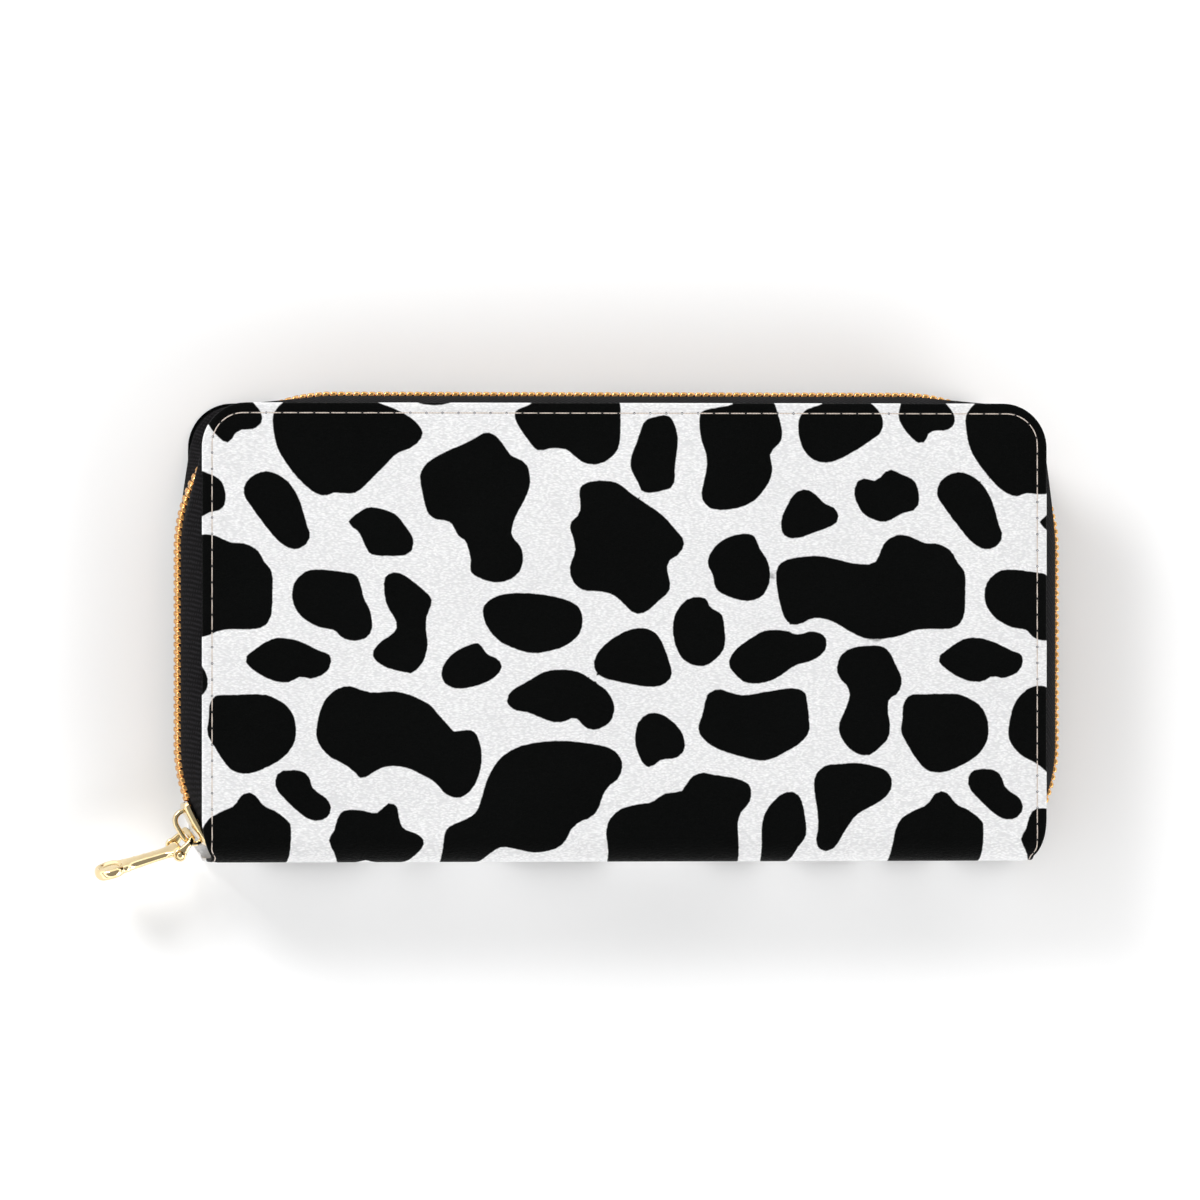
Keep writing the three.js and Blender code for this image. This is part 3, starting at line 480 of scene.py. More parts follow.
# The black spots of one repeat of the print, as outlines in millimetres on the front cover.
PRINT_REPEAT_X = 156.6
PRINT_REPEAT_Y = 122
SPOTS = [
    [(-77, 51.3), (-79.2, 49), (-79.7, 46.5), (-79, 42), (-78, 39.5), (-76, 36.5), (-73.5, 33.5),
     (-70.5, 31), (-68, 30.2), (-66, 30.9), (-62.5, 30.7), (-60.5, 31.2), (-57.5, 34), (-54.5, 37),
     (-52, 39.5), (-48.5, 41), (-46.3, 43), (-46.2, 45), (-48.5, 47.5), (-52, 49.5), (-56, 51),
     (-60, 53), (-73, 53)],
    [(-47.5, 51.2), (-45, 50.5), (-42.5, 50.4), (-39.5, 51), (-38, 52), (-43, 53.5), (-47, 53)],
    [(-86.2, 30.5), (-85.5, 33.5), (-82.5, 35.5), (-79.5, 35.3), (-76.5, 33.5), (-74.3, 30.5),
     (-73, 27), (-72, 23.5), (-71.3, 21.3), (-72.5, 19.2), (-75, 18.3), (-78, 19.7), (-81, 23),
     (-84, 27)],
    [(-62.7, 24.6), (-60, 26.8), (-57.5, 27.7), (-52.5, 26.3), (-49.8, 23.3), (-48.2, 20.7),
     (-48.5, 18), (-50.5, 16.9), (-57, 17), (-58.7, 18.5), (-60.2, 21.8), (-62, 23.3)],
    [(-46.5, 35.2), (-45, 37.6), (-41, 40), (-37, 41.7), (-34, 43.2), (-31.7, 44.4), (-29.3, 43.4),
     (-27.4, 41), (-26, 39.2), (-23.5, 38), (-22.2, 36.3), (-21.8, 33), (-23, 29.5), (-25, 25.8),
     (-26, 22.5), (-25.5, 20.7), (-24, 19), (-23.4, 16), (-24.3, 13.2), (-26.5, 11.5), (-30, 10.9),
     (-33.8, 12.2), (-35.3, 13.5), (-35.2, 16), (-35.9, 19), (-36.5, 20.3), (-38, 21.3),
     (-39.5, 24), (-41, 24.7), (-43.8, 25.3), (-45.3, 27.5), (-46.5, 33)],
    [(-25.2, 48.2), (-24.5, 46), (-22.5, 43), (-20.7, 40.8), (-19.3, 40.3), (-17.5, 40.8),
     (-14, 40.7), (-12, 39.3), (-10, 37.8), (-7.5, 37.2), (-5, 37.8), (-2.8, 39.5), (-1.6, 41.8),
     (-1.3, 47), (-1.5, 51), (-3, 53), (-18, 53), (-22, 50.5), (-24.5, 49.6)],
    [(4.5, 47.3), (8.5, 48.3), (10.2, 47.5), (11.3, 45), (11.6, 42), (11, 37.5), (10.8, 33.5),
     (10, 32), (5.5, 30.9), (3.4, 31.5), (2.4, 33.5), (0.9, 36.5), (1.2, 39.5), (2.6, 43),
     (3.6, 46)],
    [(17, 49), (16.5, 46), (17, 42.5), (18, 39.5), (18, 36), (17, 31.5), (17.2, 29.3), (19, 27.5),
     (22, 27.1), (26, 27.8), (29.5, 29.7), (32, 33), (33, 36), (32.5, 39.5), (33.5, 41),
     (35, 42.5), (35.2, 45), (34.5, 48), (33.5, 51), (32, 53), (25, 53), (24, 50.8), (20, 49.9)],
    [(39, 47), (39, 44), (40, 40.8), (42, 38.5), (45, 37.7), (48, 38.4), (52, 40.5), (55.5, 42.8),
     (57.5, 44.3), (58.2, 46.8), (57.2, 49.3), (55.3, 51.2), (53, 53), (46, 53), (44.5, 51),
     (41, 49.7), (39.7, 48.5)],
    [(62.5, 51.5), (61.7, 48), (62.5, 46), (64, 44), (66, 42.2), (67.5, 42.3), (68.5, 44.2),
     (70, 44.9), (72.5, 45), (74.3, 46.3), (74.3, 48.5), (72.5, 51), (70, 53), (65, 53)],
    [(-10.7, 31), (-10, 32.8), (-7, 33.6), (-3.5, 33.5), (-1.5, 32.8), (1, 30.8), (4, 28.8),
     (8, 26), (11, 22.8), (12.8, 20.5), (12.8, 18.7), (11.5, 17), (9.7, 15.8), (9.1, 14),
     (9.8, 11), (9.5, 8.8), (7.5, 7), (5, 4.8), (3, 3.9), (1, 4.5), (-1, 6.5), (-3.5, 8.3),
     (-7, 9), (-9.5, 9.1), (-11.8, 10.7), (-12.9, 13.5), (-12.3, 16), (-11.6, 18), (-12, 20.5),
     (-12.8, 23), (-12.3, 24.8), (-10.7, 26.3), (-10.5, 29)],
    [(28.5, 21.6), (26, 21.8), (22.5, 20.8), (20, 19), (18.5, 16.5), (18.5, 14.5), (19.5, 12.5),
     (20, 10), (22, 8.2), (26.5, 6.8), (30, 7.4), (31.8, 9.5), (32.5, 12), (32, 15.5),
     (30.3, 18.2), (29.3, 20.5)],
    [(-32.5, 5), (-30.5, 7.3), (-27, 8.4), (-22, 8.5), (-16, 7.7), (-12, 6.3), (-10.3, 4.5),
     (-10, 1.5), (-11, -1), (-14, -3.3), (-18, -4.5), (-20.5, -4.9), (-24, -4.3), (-28.5, -2.3),
     (-31.5, 1)],
    [(40.5, 31.8), (38, 30.8), (36.3, 28), (35, 25), (35.3, 22), (37, 20.8), (39.5, 21),
     (43, 22.3), (46.5, 23.6), (48, 25.2), (47.2, 27.5), (45, 28.5), (42.5, 30.8)],
    [(59.5, 36.2), (57.8, 34.8), (56.5, 33.7), (53.5, 34.2), (52, 33), (51.6, 30.5), (52.5, 28),
     (54, 26), (57.5, 24.5), (60, 25), (62.5, 26.4), (65.3, 27.2), (66.3, 29), (66, 32),
     (64.8, 34), (62, 35.3)],
    [(34, 14), (36, 15.9), (40, 16.7), (44, 16.8), (48, 16), (52, 15.1), (55.5, 15.1), (57, 16.5),
     (58.2, 19.5), (61, 21.5), (64, 21.3), (67.5, 19.8), (70.5, 19.6), (73.5, 18), (75, 15.5),
     (76.7, 13), (76.8, 8), (76.5, 3.5), (75, 1.2), (72.5, 0.5), (66, 0.4), (62, -1), (58, -1.7),
     (54, -1.6), (50.5, 0), (47, 2), (43.5, 3), (41, 2.5), (39, 1.5), (36.5, 2), (35, 5),
     (34, 10)],
    [(-75.4, 9), (-74.5, 11.5), (-72, 13.5), (-69, 13.8), (-63.5, 13.2), (-61, 12.5), (-60, 10.5),
     (-59.3, 7.5), (-58, 5), (-57.4, 2), (-57.6, 0), (-59, -1.6), (-61.8, -2.1), (-64.3, -1.3),
     (-66, 0.3), (-69.5, 1), (-73, 3), (-75, 5.8)],
    [(-54.6, 11.8), (-53, 13.1), (-50.5, 12.7), (-46.5, 9.8), (-44, 7.2), (-44.5, 5), (-45.2, 3),
     (-45.2, 0), (-44.9, -3), (-45.8, -6.5), (-48.3, -9.2), (-50.5, -9), (-54.3, -8),
     (-56.8, -6.2), (-57.2, -4.5), (-55.5, -2.3), (-53, -0.7), (-51.9, 0.8), (-52.2, 2.7),
     (-53.8, 5.3), (-54.6, 8)],
    [(16, 7.7), (13.5, 7), (11.3, 4.5), (10.4, 1), (11, -3), (12.5, -6), (15, -7.5), (17.5, -7.8),
     (19.5, -6.7), (21.5, -4.8), (22.3, -2.5), (22, 2), (21.3, 4), (19, 5.3), (18, 7.2)],
    [(-34, -2.6), (-37, -3.6), (-40, -5.6), (-41.7, -8.5), (-41.3, -11.2), (-38.8, -12.7),
     (-35, -12.4), (-31, -11), (-28.6, -9), (-28.3, -7.2), (-29.5, -6), (-31.5, -5),
     (-32.8, -3.2)],
    [(3, 0.8), (-1, -0.3), (-5, -3), (-7.2, -6), (-7.2, -8.5), (-5.5, -10.2), (-2, -11.2),
     (2, -12), (6.5, -12.4), (9.5, -11), (10.2, -9), (9.2, -5.5), (7.8, -2), (6, 0)],
    [(31.5, 0.2), (28, -1.6), (24.5, -4.2), (23.1, -7), (24, -9), (27, -11.5), (31.5, -11.4),
     (35, -9.8), (38, -7.7), (42, -6.5), (44.7, -4.7), (45.3, -2.5), (44.5, -0.8), (42, 0),
     (38.5, -0.7), (35.5, 0.2)],
    [(-86, -6.2), (-83.5, -3.8), (-80.5, -1.9), (-77.5, -1.4), (-73.5, -2.3), (-69.5, -4.2),
     (-67, -5.2), (-66.7, -7.3), (-68, -9.3), (-71, -10.5), (-73.7, -10.1), (-76, -11.3),
     (-79.5, -11), (-83.5, -9)],
    [(-27.1, -15.5), (-26, -13.3), (-22.5, -11.2), (-18.5, -9), (-14.5, -8.5), (-10.5, -9.2),
     (-6.5, -11.8), (-4.3, -13.5), (-2.8, -16.5), (-3.3, -19.5), (-5, -21.2), (-7.5, -22),
     (-9.5, -21.3), (-11, -19.7), (-12.3, -19.3), (-14.5, -20.3), (-17.5, -20), (-22, -18.2),
     (-25.3, -17.5)],
    [(47.6, -8), (48.8, -5), (51.5, -3.6), (55, -3.2), (58, -3.4), (59.8, -5), (61, -7.5),
     (62.2, -10), (62.2, -12.5), (61, -14.3), (59.5, -15.2), (59.2, -18), (59.7, -21),
     (59.2, -24), (57, -26.3), (55, -27.7), (52.5, -27.5), (50, -25.8), (48.3, -23),
     (48.1, -20.8), (49.5, -17.5), (50.5, -14.7), (50, -12.3), (48.3, -10.5)],
    [(-93.9, -16.5), (-92.5, -14.3), (-89, -14.1), (-82, -14), (-79, -15), (-76.5, -16.6),
     (-75, -19), (-74.5, -22), (-75, -25), (-77.3, -28), (-81, -30.2), (-85, -31.6),
     (-88.5, -31.1), (-91, -28.5), (-93, -25.3), (-94.4, -22.5), (-94.1, -19.5)],
    [(-70, -22.5), (-69.2, -18), (-67.8, -15), (-65.3, -12.8), (-62.5, -12.2), (-59.3, -13.2),
     (-57, -13.6), (-52, -13.4), (-48, -14.5), (-44.5, -16.3), (-42.5, -18.5), (-40, -21.2),
     (-38.8, -22.3), (-36.5, -22), (-34.8, -22.2), (-33.5, -23.7), (-32.7, -28), (-33.5, -32.5),
     (-35.5, -35.8), (-38, -37.1), (-40.8, -36.3), (-43.2, -33.7), (-46.5, -31.8), (-50, -30.3),
     (-54.2, -30.1), (-57, -31.3), (-59.7, -32.8), (-61.2, -31.5), (-63.5, -29.7), (-67, -27.8),
     (-69.3, -25.2)],
    [(18.2, -14.2), (20.5, -12.9), (23, -13.5), (26.5, -14.3), (31, -13.6), (37.5, -12.7),
     (40.3, -13.7), (40.9, -16), (41.3, -19.5), (41.3, -22.5), (39.5, -24.8), (36, -27),
     (32, -28.8), (29, -28.7), (24.5, -27.6), (20, -26), (17, -23.7), (16.2, -21.5), (17, -19),
     (17.7, -16)],
    [(2.8, -20), (5, -18.3), (7.5, -18.4), (10, -19.8), (12.3, -22.3), (13.2, -25), (12.8, -27),
     (10.8, -28.4), (8, -28.6), (6.2, -29.9), (4.8, -30.3), (3.3, -28.8), (2, -25.5),
     (2, -22.5)],
    [(-79.2, -33.5), (-78.5, -31.5), (-76.5, -30.9), (-73.5, -31), (-71.7, -32.3), (-70.8, -34.7),
     (-69.5, -35.9), (-67.5, -37.3), (-66.6, -39.3), (-67.3, -41.2), (-69.5, -42.2), (-72, -41.6),
     (-74.5, -39.7), (-77, -37.3), (-78.6, -35.5)],
    [(-15, -24.4), (-21, -24.9), (-25.5, -26.2), (-29, -28.8), (-31.5, -33), (-32.7, -37),
     (-34, -40.3), (-36.5, -42), (-40, -43.5), (-41.2, -46), (-41.4, -51.5), (-40, -56),
     (-36, -57), (-32.5, -51.2), (-30.5, -49.5), (-28.5, -48.2), (-26, -48.3), (-22, -49.2),
     (-19, -49.3), (-15.5, -48.3), (-13.5, -46.3), (-12.5, -44.2), (-10.5, -42.5), (-8, -41.5),
     (-6.3, -39.5), (-5.5, -37), (-4.2, -34.7), (-2, -33), (-1, -30.5), (-1.5, -28), (-4, -26),
     (-8.5, -25)],
    [(17, -31.6), (14.5, -32.7), (13, -35), (12, -35.8), (8.5, -36.3), (5.5, -38.2), (2, -38.7),
     (-1.5, -39.8), (-4, -42.3), (-4.6, -45.5), (-4, -49), (-3.4, -51.5), (-1.5, -56), (4, -60),
     (13, -61.5), (21, -60), (25.5, -56), (26, -51.5), (25.4, -47), (25.2, -43), (26, -40.3),
     (27.7, -38.5), (28.2, -35.5), (27, -33.7), (23.5, -32.6), (19.5, -32)],
    [(45, -30), (48, -29.7), (51.5, -29.4), (55, -29.9), (58.5, -31), (60, -33), (59.8, -35.8),
     (57.5, -38), (54.5, -39.7), (52, -41.2), (50.3, -43.5), (48.7, -46), (47.3, -48.3),
     (45.7, -49.2), (43.8, -48.6), (43, -46.8), (43.4, -43.5), (43.2, -40), (42.5, -35.5),
     (42.8, -32.2)],
    [(37, -35.8), (34.5, -36.8), (31.8, -39.8), (30.7, -43), (30.6, -47), (31.2, -51.5),
     (33, -54), (36, -53.5), (37.5, -51), (38.8, -48.5), (40.5, -46), (40.7, -43.5), (40.2, -40),
     (39.2, -37)],
    [(60, -51.5), (60.5, -46.5), (62, -42.3), (65, -40.2), (68.2, -38.8), (69.5, -36.8),
     (71.2, -35.8), (73, -36.5), (74.8, -38.7), (77.5, -40), (80.3, -42.2), (81, -44.5),
     (80.5, -51.5), (79, -56), (71, -59), (62, -56.5)],
    [(-65, -41.2), (-63.5, -39.8), (-60, -39.8), (-57, -40.5), (-55.7, -40.1), (-54.3, -38.6),
     (-53, -38.2), (-51.7, -39.3), (-51.2, -42), (-50.2, -44), (-47.5, -45), (-46, -46.2),
     (-45.8, -47.8), (-47.3, -49.7), (-50.5, -51.5), (-54, -52), (-56.5, -51.4), (-58.5, -51),
     (-61, -51.5), (-64, -51.5), (-65.5, -49.7), (-67.1, -46.5), (-66, -44.5)],
]


def unrolled(y):
    """A height on the front cover as it lies on the flat leather, before the spine's bend."""
    start = SPINE_Y + SPINE_RADIUS
    if y >= start:
        return y
    if y > SPINE_Y:
        return start - SPINE_RADIUS * math.asin(min((start - y) / SPINE_RADIUS, 1))
    return y - SPINE_RADIUS * (math.pi / 2 - 1)


def curve_through(before, at, after, beyond, steps):
    """Points of a smooth curve from each point to the one after it, in equal steps."""
    curve = []
    for share in np.arange(steps) / steps:
        a = -0.5 * share + share**2 - 0.5 * share**3
        b = 1 - 2.5 * share**2 + 1.5 * share**3
        c = 0.5 * share + 2 * share**2 - 1.5 * share**3
        d = -0.5 * share**2 + 0.5 * share**3
        curve.append(a * before + b * at + c * after + d * beyond)
    return np.stack(curve, axis=1).reshape(-1, 2)


def smooth_outline(corners):
    """A closed curve through the corners of an outline."""
    flat = np.array([(x, unrolled(y)) for x, y in corners])
    return curve_through(*(np.roll(flat, k, axis=0) for k in (1, 0, -1, -2)), 5)


# One repeat of one spot, by its number and its repeats across and down, isn't on the wallet,
# and one spot at the back's edge has no match on the front.
LEFT_OUT = (9, -1, -1)
BACK_EDGE_SPOT = [(-106, -172), (-91, -172), (-90, -160), (-91, -151), (-98, -148), (-106, -150)]


def spot_depths(places):
    """How deep each place on the flat leather is inside a black spot; below zero outside,
    and no further from a spot than reach."""
    reach = 3.0
    depths = np.full(len(places), -reach)
    for number, corners in enumerate([*SPOTS, BACK_EDGE_SPOT]):
        outline = smooth_outline(corners)
        for across in (-1, 0, 1):
            for down in (0, -1):
                alone = corners is BACK_EDGE_SPOT and (across, down) != (0, 0)
                if alone or (number, across, down) == LEFT_OUT:
                    continue
                moved = outline + (across * PRINT_REPEAT_X, down * PRINT_REPEAT_Y)
                low, high = moved.min(0) - reach, moved.max(0) + reach
                near = np.where(((places > low) & (places < high)).all(1))[0]
                if not len(near):
                    continue
                p = places[near][:, None]
                a, b = moved[None], np.roll(moved, -1, axis=0)[None]
                side = b - a
                share = ((p - a) * side).sum(-1) / (side**2).sum(-1)
                gap = p - a - np.clip(share, 0, 1)[..., None] * side
                distance = np.sqrt((gap**2).sum(-1).min(1))
                spans = (a[..., 1] > p[..., 1]) != (b[..., 1] > p[..., 1])
                with np.errstate(divide="ignore", invalid="ignore"):
                    cross = a[..., 0] + (p[..., 1] - a[..., 1]) * side[..., 0] / side[..., 1]
                inside = (spans & (p[..., 0] < cross)).sum(1) % 2 == 1
                depths[near] = np.maximum(depths[near], np.where(inside, distance, -distance))
    return depths


# Distances from a raw edge at which the leather's mesh has a row, close where it is round.
EDGE_STEPS = [0, 0.1, 0.25, 0.45, 0.75, 1.1, 1.5, 1.9, 2.2, 2.5, 2.8, 3.2, 3.8, 4.6, 5.6, 6.8, 8]


def cover_columns(run):
    width = half_width(run)
    inner = width - EDGE_STEPS[-1]
    right = [width - d for d in reversed(EDGE_STEPS)]
    return [-x for x in reversed(right)] + [*np.linspace(-inner, inner, 141)[1:-1]] + right


def cover_leather(side):
    """One cover's leather with its half of the spine, thick, with rounded raw edges."""
    front = side == "front"
    row_step = 1.25
    runs = [*np.linspace(0, FLAT_START, 17)]
    runs += [*np.arange(FLAT_START + row_step, TOP_RUN - EDGE_STEPS[-1], row_step)]
    runs += [TOP_RUN - d for d in reversed(EDGE_STEPS)]
    outer, inner, places = [], [], []
    for run in runs:
        for x in cover_columns(run):
            depth = surface_depth(x, run, front)
            outer.append(wrap_point(x, run, depth, front))
            inner.append(wrap_point(x, run, LEATHER, front))
            places.append((x, PRINT_MIDDLE + (run if front else -run)))
    faces = grid_faces(len(outer) // len(runs), len(runs), closed=False)
    piece = make_piece(f"{side}_leather", (outer + inner, faces), LEATHER_MATERIAL)
    depths = spot_depths(np.array(places))
    attribute = piece.data.attributes.new("spot_depth", "FLOAT", "POINT")
    attribute.data.foreach_set("value", np.concatenate([depths, depths]).astype(np.float32))
    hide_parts(f"{side}_cover_skin")
    bend_at_spine(piece, side)


def bend_at_spine(piece, side):
    """Bakes the piece's transform into its mesh, the same for either side."""
    if side == "back":
        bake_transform(piece)
    else:
        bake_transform(piece)


# ---- edge stitching -----------------------------------------------------------------------
def stitch_line():
    """Points along the stitched line from the left of the spine, over the top, to the right."""
    top = TOP_RUN - STITCH_TOP_INSET
    corner_run = top - STITCH_CORNER
    left = [(-stitch_side(r), r) for r in np.arange(0.4, corner_run, 0.4)]
    corner_x = -(stitch_side(corner_run) - STITCH_CORNER)
    corner = [
        (corner_x - STITCH_CORNER * math.cos(a), corner_run + STITCH_CORNER * math.sin(a))
        for a in np.linspace(0, math.pi / 2, 28)
    ]
    half = left + corner
    return np.array(half + [(-x, r) for x, r in reversed(half)])


def line_lengths(line):
    return np.concatenate([[0], np.cumsum(np.hypot(*np.diff(line, axis=0).T))])


def on_line(line, lengths, distance):
    return np.array([np.interp(distance, lengths, line[:, k]) for k in (0, 1)])


def edge_stitches(side):
    """Thread between needle holes, sunk into the leather at each hole, with a near-black pit at
    each hole as painted shade.
    """
    front = side == "front"
    line = stitch_line()
    lengths = line_lengths(line)
    count = int(lengths[-1] / STITCH_PITCH)
    step = lengths[-1] / count
    holes = [on_line(line, lengths, k * step) for k in range(count + 1)]
    thread, pits = [], []
    radius, hole_radius, hole_sides = 0.15, 0.27, 10
    for k in range(count):
        rings = []
        for share in (0.07, 0.1, 0.16, 0.3, 0.5, 0.7, 0.84, 0.9, 0.93):
            swell = math.sin(math.pi * share) ** 0.35
            place = on_line(line, lengths, (k + share) * step)
            way = on_line(line, lengths, (k + share + 0.04) * step) - place
            across = np.array([-way[1], way[0]]) / np.linalg.norm(way)
            ring = []
            for c, s in round_steps(8):
                at = place + across * c * radius * (0.55 + 0.45 * swell)
                depth = surface_depth(*at, front) - 0.5 * radius * swell + 0.12
                ring.append(wrap_point(*at, depth - radius * s, front))
            rings.append(ring)
        thread.append(loft_parts(rings))
    # Each hole is a shallow near-black pit: painted shade inside the hole.
    for hole in holes:
        ring = []
        for direction in round_steps(hole_sides):
            at = hole + np.array(direction) * hole_radius
            ring.append(wrap_point(*at, surface_depth(*at, front) - 0.03, front))
        deep = wrap_point(*hole, surface_depth(*hole, front) + 0.02, front)
        faces = [(k, (k + 1) % hole_sides, hole_sides) for k in range(hole_sides)]
        pits.append((ring + [deep], faces))
    for name, parts, material in (
        ("stitching", thread, THREAD_MATERIAL), ("needle_holes", pits, HOLE_SHADE_MATERIAL),
    ):
        bend_at_spine(make_piece(f"{side}_{name}", join_parts(parts), material), side)


# ---- sheets inside the wallet -------------------------------------------------------------
def sheet_piece(name, low, high, material, corner, round_edge, sag=0.0):
    """A thick sheet over a rectangle with round corners, its middle raised by sag."""
    (x0, y0, z0), (x1, y1, z1) = low, high
    middle_x, middle_y = (x0 + x1) / 2, (y0 + y1) / 2
    half_x, half_y, half_z = (x1 - x0) / 2, (y1 - y0) / 2, (z1 - z0) / 2
    ease = [0, 0.25, 0.6, 1.0, 1.6, 2.4]

    def spread(half, count):
        inner = half - ease[-1]
        high_end = [half - e for e in reversed(ease)]
        middle = [*np.linspace(-inner, inner, count)[1:-1]]
        return [-v for v in reversed(high_end)] + middle + high_end

    columns, rows = spread(half_x, 60), spread(half_y, 24)
    points = []
    for sign in (1, -1):
        for y in rows:
            over = max(abs(y) - (half_y - corner), 0)
            width = half_x - corner + math.sqrt(max(corner**2 - over**2, 0))
            for x in columns:
                place = x * width / half_x
                edge = min(width - abs(place), half_y - abs(y))
                fall = smoothstep(edge / (round_edge * 3)) if edge < round_edge * 3 else 1
                swell = sag * smoothstep(edge / 14)
                z = (z0 + z1) / 2 + sign * half_z * (0.35 + 0.65 * fall) + swell
                points.append((middle_x + place, middle_y + y, z))
    return make_piece(name, (points, grid_faces(len(columns), len(rows))), material)


def seam(name, path, body, pitch):
    """A row of stitches along straight runs between points, each lying on a surface."""
    radius = 0.16
    parts = []
    for start, finish in zip(path, path[1:]):
        start, finish = Vector(start), Vector(finish)
        way = (finish - start).normalized()
        count = max(int((finish - start).length / pitch), 1)
        step = (finish - start) / count
        side = way.orthogonal().normalized()
        other = way.cross(side)
        for k in range(count):
            rings = []
            for share in (0.1, 0.2, 0.5, 0.8, 0.9):
                swell = math.sin(math.pi * share) ** 0.4
                centre = start + step * (k + share)
                rings.append(tube_ring(centre, side, other, radius * swell, 6))
            parts.append(loft_parts(rings))
    piece = make_piece(name, join_parts(parts), THREAD_MATERIAL)
    place_piece(piece, body)


def inner_linings():
    """The lining of each cover, drawn in from the sides and towards the leather at the spine."""
    inset, spine_inset, spine_depth, columns = 2.8, 6.2, 1.2, 70
    spine_flat, drawn_to, drawn_over = 6.5, 15.5, 13
    corner = COVER_CORNER - inset
    corner_run = TOP_RUN - COVER_CORNER
    runs = [*np.linspace(0, FLAT_START, 14), *np.arange(FLAT_START + 3, TOP_RUN - 8, 3)]
    runs += [TOP_RUN - inset - d for d in (5, 4, 3, 2.2, 1.4, 0.8, 0.4, 0.1)]
    for side in SIDES:
        front = side == "front"
        outer, inner = [], []
        for run in runs:
            drawn = spine_inset + (inset - spine_inset) * smoothstep((run - drawn_to) / drawn_over)
            width = half_width(min(run, corner_run)) - drawn
            if run > corner_run:
                rise = run - corner_run
                width = HALF_LENGTH - COVER_CORNER + math.sqrt(max(corner**2 - rise**2, 0))
            bend = smoothstep((run - spine_flat) / (FLAT_START - spine_flat))
            depth = spine_depth + (LINING_DEPTH - spine_depth) * bend
            for share in np.linspace(-1, 1, columns):
                outer.append(wrap_point(share * width, run, depth, front))
                inner.append(wrap_point(share * width, run, depth + LINING, front))
        shape = outer + inner, grid_faces(columns, len(runs))
        piece = make_piece(f"{side}_lining", shape, LINING_MATERIAL)
        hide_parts(f"{side}_cover_lining")
        bend_at_spine(piece, side)


def card_slots():
    last_leaf = 4
    for side in SIDES:
        for number in range(1, last_leaf + 1):
            node = f"{side}_card_leaf_{number}"
            low, high = box_mm(node)
            piece = sheet_piece(f"{side}_card_slot_{number}", low, high, INNER_LEATHER, 1.5, 0.1)
            place_piece(piece, f"{side}_cover", node)
            z = low[2] - SEAM_LIFT if side == "front" else high[2] + SEAM_LIFT
            y = high[1] - 1.6
            paths = [[(low[0] + 2, y, z), (high[0] - 2, y, z)]]
            if number == last_leaf:
                paths.append([(0, low[1] + 1, z), (0, high[1] - 1, z)])
            for index, path in enumerate(paths):
                seam(f"{side}_card_seam_{number}_{index}", path, f"{side}_cover", 2.6)


# ---- the zip ------------------------------------------------------------------------------
CORNER_X = -ZIP_SIDE_X + ZIP_TOP_RADIUS
CORNER_Y = ZIP_TOP_Y - ZIP_TOP_RADIUS
END_X = -ZIP_SIDE_X + ZIP_END_RADIUS
END_LENGTH = ZIP_END_RADIUS * ZIP_END_TILT
SIDE_LENGTH = CORNER_Y - ZIP_END_Y
CORNER_LENGTH = ZIP_TOP_RADIUS * math.pi / 2
HALF_ZIP = END_LENGTH + SIDE_LENGTH + CORNER_LENGTH - CORNER_X


def zip_at(distance):
    """The zip's path: its point, the way out from the wallet, and the cover's edge beside it
    with the way into the cover there."""
    if distance > HALF_ZIP:
        return [np.array((-v[0], v[1])) for v in zip_at(2 * HALF_ZIP - distance)]
    if distance < END_LENGTH:
        angle = math.pi + ZIP_END_TILT - distance / ZIP_END_RADIUS
        out = np.array((math.cos(angle), math.sin(angle)))
        y = SPINE_Y + TAPE_FOOT + (ZIP_END_Y - SPINE_Y - TAPE_FOOT) * distance / END_LENGTH
        run = FLAT_START + y - SPINE_Y - SPINE_RADIUS
        edge, into = np.array((-half_width(run), y)), np.array((1, 0))
        return [np.array((END_X, ZIP_END_Y)) + ZIP_END_RADIUS * out, out, edge, into]
    distance -= END_LENGTH
    cover_corner = np.array((-HALF_LENGTH + COVER_CORNER, COVER_TOP - COVER_CORNER))
    if distance < SIDE_LENGTH:
        share = distance / SIDE_LENGTH
        point = np.array((-ZIP_SIDE_X, ZIP_END_Y + distance))
        edge = np.array((-HALF_LENGTH, ZIP_END_Y + (cover_corner[1] - ZIP_END_Y) * share))
        return [point, np.array((-1, 0)), edge, np.array((1, 0))]
    distance -= SIDE_LENGTH
    if distance < CORNER_LENGTH:
        angle = math.pi - distance / ZIP_TOP_RADIUS
        out = np.array((math.cos(angle), math.sin(angle)))
        point = np.array((CORNER_X, CORNER_Y)) + ZIP_TOP_RADIUS * out
        return [point, out, cover_corner + COVER_CORNER * out, -out]
    share = (distance - CORNER_LENGTH) / -CORNER_X
    point = np.array((CORNER_X * (1 - share), ZIP_TOP_Y))
    edge = np.array((cover_corner[0] * (1 - share), COVER_TOP))
    return [point, np.array((0, 1)), edge, np.array((0, -1))]


def beside(distance, out, rise, front):
    """A point out from the zip's path and rise towards a cover from the middle plane."""
    point, outward = zip_at(distance)[:2]
    place = point + outward * out
    return (place[0], place[1], MID_Z + rise if front else MID_Z - rise)


